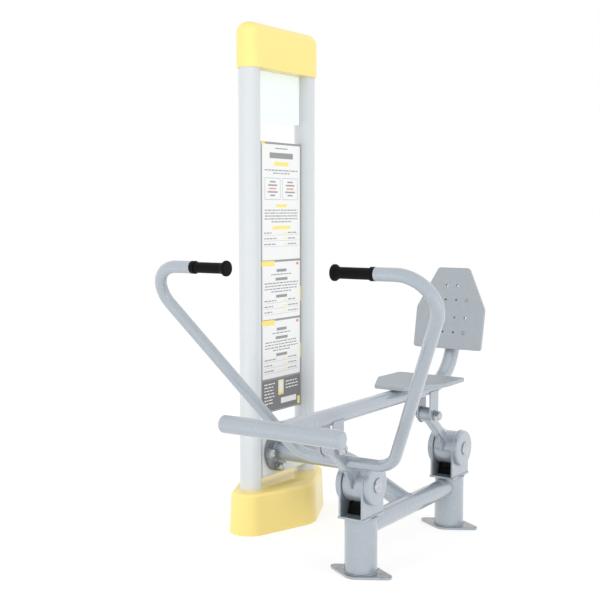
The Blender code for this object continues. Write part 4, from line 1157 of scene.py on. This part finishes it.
def discs(where):
    centre = shift(UNIT_X, stand_at(where), AXLE_Z)
    corners = [(DISC_IN, AXLE_R), (DISC_IN, DISC_R), (DISC_OUT, DISC_R), (DISC_OUT, AXLE_R)]
    profile = bent(corners, (SMALL_EDGE, DISC_EDGE_R), step=9)
    nut_face = DISC_OUT + TOUCH
    for label, turn in BOTH_SIDES:
        at = centre @ turn
        disc = turned(profile, looped=True)
        piece(f"{where}_cover_{label}", disc, "grey_plastic", "stand", f"{where}_disc_{label}", at=at)
        # The ring round the hub cap is in the darker steel, as a painted shadow round the cap.
        ring = washer(HUB_CAP_R + HUB_RING_RIM, AXLE_R, HUB_RING)
        piece(f"{where}_axle_washer_{label}", ring, "dark_steel_and_shade", "stand", at=at @ shift(DISC_OUT, 0, 0))
    top = HUB_CAP_RIM + HUB_CAP_HEIGHT
    dome = [(0, 0), (0, HUB_CAP_R), (HUB_CAP_RIM, HUB_CAP_R)]
    for a in quarter(HUB_CAP_STEPS)[1:-1]:
        dome.append((HUB_CAP_RIM + HUB_CAP_HEIGHT * math.sin(a), HUB_CAP_R * math.cos(a)))
    at = shift(UNIT_X + nut_face + HUB_CAP_LIFT, stand_at(where), AXLE_Z)
    piece(f"{where}_hub_cap", turned(dome + [(top, 0)]), "chrome", "stand", f"{where}_axle_nut", at=at)
    head = bolt_head(AXLE_HEAD_HALF, AXLE_HEAD_HEIGHT)
    at = shift(UNIT_X - nut_face, stand_at(where), AXLE_Z)
    piece(f"{where}_axle_head", head, "zinc_steel", "stand", at=at)
    shank = plate(circle(AXLE_R, NUT_SIDES), -nut_face, nut_face, "X")
    piece(f"{where}_axle_shank", shank, "zinc_steel", "stand", f"{where}_axle", at=centre)


# Rockers


def hinge_at(where):
    return Vector((UNIT_X, stand_at(where), AXLE_Z))


def pin_at(where):
    return hinge_at(where) + Vector((0, -ARM * math.sin(LEAN), ARM * math.cos(LEAN)))


def along_arm(where):
    """The rocker's own frame: the axle at zero and the arm along Z."""
    return Matrix.Translation(hinge_at(where)) @ Matrix.Rotation(LEAN, 4, "X")


def wrapped(outline, radius, centre_z, sign):
    """An outline of (x, y) laid on a round bar along X, above it or below it."""
    return [(x, y, centre_z + sign * math.sqrt(max(0.0, radius**2 - y**2))) for x, y in outline]


def ring_profile(half, bore, radius, edge, step):
    """The cut through a ring with its outer edges rounded."""
    return bent([(-half, bore), (-half, radius), (half, radius), (half, bore)], (edge, edge), step)


def rocker(where):
    body, at = f"{where}_swing", along_arm(where)
    near, far, half = ARM_SHIFT - ARM_BAR / 2, ARM_SHIFT + ARM_BAR / 2, ARM_BAR / 2
    thick = GUSSET_THICKNESS / 2

    hub = turned(ring_profile(HUB_HALF, HUB_BORE_R, HUB_R, HUB_EDGE, step=15), looped=True)
    piece(f"{where}_hub", hub, "unit_paint", body, f"{where}_rocker", at=at)

    section = rounded(rectangle((-half, near), (half, far)), (ARM_CORNER_R,) * 4, BAR_STEPS)
    start = math.sqrt(HUB_R**2 - (half - ARM_SHIFT) ** 2) - WELD_R
    piece(f"{where}_arm", plate(section, start, ARM - PIN_BORE_R, "Z"), "unit_paint", body, at=at)

    barrel = turned(ring_profile(BARREL_HALF, PIN_BORE_R, BARREL_R, THICK_EDGE, step=18), looped=True)
    piece(f"{where}_barrel", barrel, "unit_paint", body, at=at @ shift(0, 0, ARM))

    low = math.sqrt(HUB_R**2 - GUSSET_DEPTH**2) - WELD_R
    brace = [(near + WELD_R, HUB_R - WELD_R), (near + WELD_R, GUSSET_TOP), (near, GUSSET_TOP),
             (-GUSSET_DEPTH, GUSSET_FOOT), (-GUSSET_DEPTH + WELD_R, low)]
    gusset = plate(brace, -thick, thick, "X")
    piece(f"{where}_gusset", gusset, "unit_paint", body, at=at, edge=SMALL_EDGE)

    outline = rectangle((-LUG_WIDTH / 2, -LUG_HALF), (LUG_WIDTH / 2, LUG_HALF))
    outline = rounded(outline, (LUG_CORNER_R,) * 4, SMALL_STEPS)
    # The lugs belong to the painted rocker; their black rubber look is painted shade that stands for the
    # shade inside the yoke.
    for label, angle in (("rest", STOP_ANGLE), ("back", -STOP_ANGLE - SWING)):
        lug = plate(outline, -LUG_REACH, -HUB_R + WELD_R, "Z")
        turn = Matrix.Rotation(-angle - LEAN, 4, "X")
        piece(f"{where}_lug_{label}", lug, "black_rubber", body, at=at @ turn, edge=SMALL_EDGE)

    seam(f"{where}_arm_seam_hub", wrapped(section, HUB_R, 0, 1), (0, 0, 1), body, at)
    line = wrapped(section, BARREL_R, ARM, -1)
    seam(f"{where}_arm_seam_barrel", line, (0, 0, 1), body, at, share=SLIM_WELD)
    for label, x in (("left", -thick), ("right", thick)):
        line = [(x, near, GUSSET_TOP), (x, near, HUB_R + WELD_R)]
        seam(f"{where}_gusset_seam_{label}", line, (0, 1, 0), body, at, closed=False, share=SMALL_WELD)


def raked(across, up):
    """A place in the handlebar's own leaning plane, up from the grips' line."""
    y = HANDLE_BEHIND_ARM * math.cos(LEAN) - HANDLE_ON_ARM * math.sin(LEAN)
    z = HANDLE_BEHIND_ARM * math.sin(LEAN) + HANDLE_ON_ARM * math.cos(LEAN)
    up += HANDLE_DROP
    away = Vector((across, y - up * math.sin(HANDLE_RAKE), z + up * math.cos(HANDLE_RAKE)))
    return hinge_at("front") + away


def handlebar():
    corners = [(HANDLE_END, 0), (HANDLE_TOP_HALF, 0), (HANDLE_LOW_HALF, -HANDLE_DROP), (0, -HANDLE_DROP)]
    half = bent(corners, (HANDLE_TOP_R, HANDLE_LOW_R))[:-1]
    path = [raked(x, up) for x, up in half] + [raked(-x, up) for x, up in reversed(half)]
    across = (0, math.cos(HANDLE_RAKE), math.sin(HANDLE_RAKE))
    piece("handle_tube", tube(path, HANDLE_R, across), "unit_paint", "front_swing", "handlebar")

    half_bar, far = ARM_BAR / 2, ARM_SHIFT + ARM_BAR / 2
    open_turn = math.acos((far - HANDLE_BEHIND_ARM) / HANDLE_R)
    round_tube = []
    for i in range(HANDLE_SEAM_STEPS + 1):
        a = open_turn + (math.tau - 2 * open_turn) * i / HANDLE_SEAM_STEPS
        y, z = HANDLE_R * math.cos(a), HANDLE_R * math.sin(a)
        round_tube.append((HANDLE_BEHIND_ARM + y, HANDLE_ON_ARM + z))
    rise = HANDLE_R * math.sin(open_turn)
    lines = [("left", [(-half_bar, y, z) for y, z in round_tube], (1, 0, 0)),
             ("right", [(half_bar, y, z) for y, z in round_tube], (1, 0, 0))]
    for label, z in (("low", HANDLE_ON_ARM - rise), ("high", HANDLE_ON_ARM + rise)):
        lines.append((label, [(-half_bar, far, z), (half_bar, far, z)], (0, 1, 0)))
    at = along_arm("front")
    for label, line, up in lines:
        seam(f"handle_seam_{label}", line, up, "front_swing", at, closed=False, share=SLIM_WELD)


def grips():
    start, end = HANDLE_END - GRIP_LENGTH, HANDLE_END - TOUCH
    corners = [(start, 0), (start, GRIP_FLANGE_R), (start + GRIP_FLANGE, GRIP_FLANGE_R),
               (start + GRIP_FLANGE + GRIP_FLARE, GRIP_R), (end - GRIP_COLLAR, GRIP_R),
               (end - GRIP_COLLAR, GRIP_COLLAR_R), (end, GRIP_COLLAR_R), (end, SPIGOT_R)]
    profile = bent(corners, GRIP_EDGES, step=10) + [(end - TOUCH, 0)]
    centre = Matrix.Translation(raked(0, 0))
    for label, turn in BOTH_SIDES:
        sleeve = turned(profile)
        at = centre @ turn
        piece(f"{label}_grip_sleeve", sleeve, "black_rubber", "front_swing", f"grip_{label}", at=at)


# Carriage


def seat_frame():
    pin = pin_at("front")
    tilt = Vector((math.sin(BACK_TILT), math.cos(BACK_TILT)))
    corner = Vector((BACK_REACH, FRAME_RISE))
    corners = [(-FOOT_BAR_REACH, FRAME_RISE), tuple(corner), tuple(corner + tilt * BACK_LENGTH)]
    line = [pin + Vector((0, y, z)) for y, z in bent(corners, (BACK_BEND_R,))]
    piece("seat_tube", tube(line, FRAME_R, (1, 0, 0)), "unit_paint", "carriage", "seat_beam")
    bar = pin + Vector((0, -FOOT_BAR_REACH, FRAME_RISE))
    end = FOOT_BAR_HALF + END_CAP
    face = end - END_CAP_R
    ends = [bar + Vector((x, 0, 0)) for x in (-face, face)]
    piece("foot_tube", tube(ends, FRAME_R, (0, 1, 0)), "unit_paint", "carriage", "foot_bar")
    seam("foot_tube_seam", saddle(bar, (0, 1, 0), (1, 0, 0), FRAME_R, FRAME_R), (0, 1, 0), "carriage")
    corners = [(face, 0), (face, FRAME_R), (end, FRAME_R), (end, 0)]
    profile = bent(corners, (0.0, END_CAP_R - END_CAP_SPARE), step=6)
    for label, turn in BOTH_SIDES:
        at = Matrix.Translation(bar) @ turn
        piece(f"foot_end_{label}", turned(profile), "grey_plastic", "carriage", f"foot_cap_{label}", at=at)


def ears(where):
    pin = Matrix.Translation(pin_at("front") + Vector((0, SPACING if where == "rear" else 0, 0)))
    rise = FRAME_RISE - EAR_DROP
    low = [math.pi * (1 + i / EAR_STEPS) for i in range(EAR_STEPS + 1)]
    outline = [(EAR_R * math.cos(a), EAR_R * math.sin(a)) for a in low]
    outline += [(EAR_R, rise), (-EAR_R, rise)]
    seam_x = (EAR_OUT + math.sqrt(FRAME_R**2 - EAR_DROP**2)) / 2
    line = [(seam_x, -EAR_R, rise), (seam_x, EAR_R, rise)]
    for label, turn in BOTH_SIDES:
        at = pin @ turn
        ear, node = plate(outline, EAR_IN, EAR_OUT, "X"), f"{where}_ear_{label}"
        piece(f"{where}_lug_plate_{label}", ear, "unit_paint", "carriage", node, at=at, edge=SMALL_EDGE)
        seam(f"{where}_lug_seam_{label}", line, (1, 0, 0), "carriage", at, closed=False, share=FINE_WELD)
        ring = washer(WASHER_R, PIN_R, PIN_WASHER)
        piece(f"{where}_pin_washer_{label}", ring, "zinc_steel", "carriage", at=at @ shift(EAR_OUT, 0, 0))
    face = EAR_OUT + TOUCH
    nut = domed_nut(NUT_HALF, PIN_NUT_HEIGHT, PIN_NUT_DOME)
    piece(f"{where}_pin_dome", nut, "chrome", "carriage", f"{where}_pin_nut", at=pin @ shift(face, 0, 0))
    head = bolt_head(NUT_HALF, HEAD_HEIGHT)
    piece(f"{where}_pin_head", head, "zinc_steel", "carriage", at=pin @ shift(-face, 0, 0))
    shank = plate(circle(PIN_R, NUT_SIDES), -face, face, "X")
    piece(f"{where}_pin_shank", shank, "zinc_steel", "carriage", f"{where}_pin", at=pin)


def seat():
    at = Matrix.Translation(pin_at("front"))
    board = plate(six_sided(SEAT_PLACES), SEAT_Z, SEAT_Z + PANEL_THICKNESS, "Z")
    piece("seat_board", board, "speckled_panel", "carriage", "seat", at=at, edge=SEAT_EDGE)
    outline = rectangle((-SEAT_PLATE_HALF_X, SEAT_PLATE_FRONT), (SEAT_PLATE_HALF_X, SEAT_PLATE_REAR))
    outline = rounded(outline, (PLATE_CORNER_R,) * 4)
    under = plate(outline, SEAT_PLATE_Z, SEAT_PLATE_Z + SEAT_PLATE_THICKNESS, "Z")
    piece("seat_bracket", under, "unit_paint", "carriage", "seat_plate", at=at, edge=SHEET_EDGE)


def backrest():
    corner = pin_at("front") + Vector((0, BACK_REACH, FRAME_RISE))
    at = Matrix.Translation(corner) @ Matrix.Rotation(-BACK_TILT, 4, "X")
    places = [(x, z) for z in HOLE_ROWS for x in (-HOLE_OUTER, -HOLE_INNER, HOLE_INNER, HOLE_OUTER)]
    places += [(-HOLE_INNER, HOLE_TOP_ROW), (HOLE_INNER, HOLE_TOP_ROW)]
    low_row, middle_row, high_row = HOLE_ROWS
    screwed = [(x, z) for x, z in places if abs(x) == HOLE_OUTER and z in (low_row, high_row)]
    holes = []
    for x, z in places:
        if (x, z) not in screwed:
            free = z == HOLE_TOP_ROW or (abs(x) == HOLE_OUTER and z == middle_row)
            holes.append(circle(FREE_HOLE_R if free else HOLE_R, HOLE_SIDES, (x, z)))
    front = -BACK_FACE - PANEL_THICKNESS
    board = plate(six_sided(BACK_PLACES), front, -BACK_FACE, "Y", holes)
    piece("back_board", board, "speckled_panel", "carriage", "backrest", at=at, edge=BACK_EDGE)

    half, front_y, web = CHANNEL_HEIGHT / 2, BACK_FACE - TOUCH, BACK_FACE - TOUCH - CHANNEL_WALL
    lip, rear = half - CHANNEL_WALL, BACK_FACE - TOUCH - CHANNEL_DEPTH
    outline = [(-front_y, -half), (-rear, -half), (-rear, -lip), (-web, -lip)]
    outline += [(y, -z) for y, z in reversed(outline)]
    for label, row in (("lower", low_row), ("upper", high_row)):
        rail, node = plate(outline, -CHANNEL_HALF, CHANNEL_HALF, "X"), f"back_channel_{label}"
        rail_at = at @ shift(0, 0, row)
        piece(f"back_rail_{label}", rail, "unit_paint", "carriage", node, at=rail_at, edge=SHEET_EDGE)

    turns = quarter(DOME_STEPS)[1:-1]
    dome = [(0, 0), (0, SCREW_R)] + [(SCREW_DOME * math.sin(a), SCREW_R * math.cos(a)) for a in turns[:5]]
    dome += SCREW_SOCKET
    turn = Matrix.Rotation(-math.pi / 2, 4, "Z")
    for i, (x, z) in enumerate(screwed, start=1):
        screw = turned(dome, NUT_SIDES)
        piece(f"back_screw_{i}", screw, "zinc_steel", "carriage", at=at @ shift(x, front, z) @ turn)

    end = [(0, 0), (0, FRAME_R)] + [(TUBE_CAP * math.sin(a), FRAME_R * math.cos(a)) for a in turns]
    lift = at @ shift(0, 0, BACK_LENGTH) @ Matrix.Rotation(-math.pi / 2, 4, "Y")
    shape = turned(end + [(TUBE_CAP, 0)])
    piece("back_tube_end", shape, "grey_plastic", "carriage", "back_tube_cap", at=lift)


# Floor, light and camera

VIEW_TURN = math.radians(33.69)
VIEW_DROP = math.radians(85.244)
CAMERA_PLACE = (2.5880, -3.7170, 1.3108)
CAMERA_LENS = 64.59
FLOOR_REACH = 14.0
FLOOR_SHARE = 0.5
FLOOR_GLOW = 1.34
FLOOR_GREY = (0.60, 0.60, 0.60, 1.0)
FLOOR_PALE = (0.80, 0.80, 0.80, 1.0)
WARM_WHITE = (1.0, 0.995, 0.985)
COOL_WHITE = (0.99, 0.995, 1.0)
ROOM_LOW = (0.82, 0.83, 0.85, 1.0)
ROOM_HIGH = (0.90, 0.91, 0.93, 1.0)
WHITE = (1.0, 1.0, 1.0, 1.0)
LAMPS_AIM = (0.4, -0.1, 0.9)
LAMPS = (
    ("front", (-0.9, -5.2, 1.0), (2.4, 1.8), 108, WARM_WHITE),
    ("side", (5.4, -0.4, 1.0), (2.2, 1.8), 102, COOL_WHITE),
)


def seen_directly(tree):
    """One for what the camera sees, in metal and through glass too, and zero for the light on the object."""
    ways = add(tree, "ShaderNodeLightPath").outputs
    seen = calc(tree, "MAXIMUM", ways["Is Camera Ray"], ways["Is Glossy Ray"])
    return calc(tree, "MAXIMUM", seen, ways["Is Transmission Ray"])


def floor():
    """A pale floor that shows white and keeps the shadow."""
    bm = bmesh.new()
    corners = rectangle((-FLOOR_REACH, -FLOOR_REACH), (FLOOR_REACH, FLOOR_REACH))
    bm.faces.new([bm.verts.new((x, y, 0)) for x, y in corners])
    mesh = bpy.data.meshes.new("floor")
    bm.to_mesh(mesh)
    bm.free()
    ground = bpy.data.objects.new("floor", mesh)
    bpy.context.collection.objects.link(ground)
    made = bpy.data.materials.new("floor")
    made.use_nodes = True
    tree = made.node_tree
    tree.nodes.clear()
    seen = seen_directly(tree)
    share = calc(tree, "MULTIPLY", seen, FLOOR_SHARE)
    matt = add(tree, "ShaderNodeBsdfDiffuse", {"Color": mixed(tree, seen, FLOOR_GREY, FLOOR_PALE)}).outputs[0]
    glow = add(tree, "ShaderNodeEmission", {"Color": (*WARM_WHITE, 1.0), "Strength": FLOOR_GLOW}).outputs[0]
    both = add(tree, "ShaderNodeMixShader", {0: share, 1: matt, 2: glow})
    add(tree, "ShaderNodeOutputMaterial", {"Surface": both.outputs[0]})
    mesh.materials.append(made)


def sky():
    """A plain pale room, white where it is seen, that lights the object a little more from above."""
    world = bpy.data.worlds.new("room")
    bpy.context.scene.world = world
    world.use_nodes = True
    tree = world.node_tree
    tree.nodes.clear()
    way = add(tree, "ShaderNodeTexCoord").outputs["Generated"]
    height = add(tree, "ShaderNodeSeparateXYZ", {0: way}).outputs["Z"]
    room = mixed(tree, ramp_between(tree, height, 0.10, 0.75), ROOM_LOW, ROOM_HIGH)
    color = mixed(tree, seen_directly(tree), room, WHITE)
    light = add(tree, "ShaderNodeBackground", {"Strength": 1.0, "Color": color})
    add(tree, "ShaderNodeOutputWorld", {"Surface": light.outputs[0]})


def lights():
    for name, place, size, power, color in LAMPS:
        light = bpy.data.lights.new(name, "AREA")
        light.shape = "RECTANGLE"
        light.size, light.size_y = size
        light.energy = power
        light.color = color
        made = bpy.data.objects.new(name, light)
        bpy.context.collection.objects.link(made)
        made.location = place
        made.rotation_euler = (Vector(LAMPS_AIM) - Vector(place)).to_track_quat("-Z", "Y").to_euler()
        made.visible_glossy = False


def camera():
    made = bpy.data.objects.new("camera", bpy.data.cameras.new("camera"))
    bpy.context.collection.objects.link(made)
    made.location = CAMERA_PLACE
    made.rotation_euler = (VIEW_DROP, 0, VIEW_TURN)
    made.data.sensor_width = 36
    made.data.lens = CAMERA_LENS
    bpy.context.scene.camera = made


def kept_nodes():
    """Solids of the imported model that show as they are."""
    for look, names in (
        ("nylon", ("front_hub_bush", "rear_hub_bush", "front_pin_bush", "rear_pin_bush")),
        ("zinc_steel", ("pylon_foot_plate",)),
    ):
        for name in names:
            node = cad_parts[name]
            node.data.materials.clear()
            node.data.materials.append(LOOKS[look])


def main():
    bpy.context.scene.view_settings.view_transform = "Standard"
    for build in (camera, kept_nodes, uprights, cap, cover, header, info_board, mount_plates, beam,
                  lower_tube):
        build()
    for where in ("front", "rear"):
        for build in (feet, yoke, stop, discs, rocker, ears):
            build(where)
    for build in (handlebar, grips, seat_frame, seat, backrest, floor, sky, lights):
        build()
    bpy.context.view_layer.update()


main()
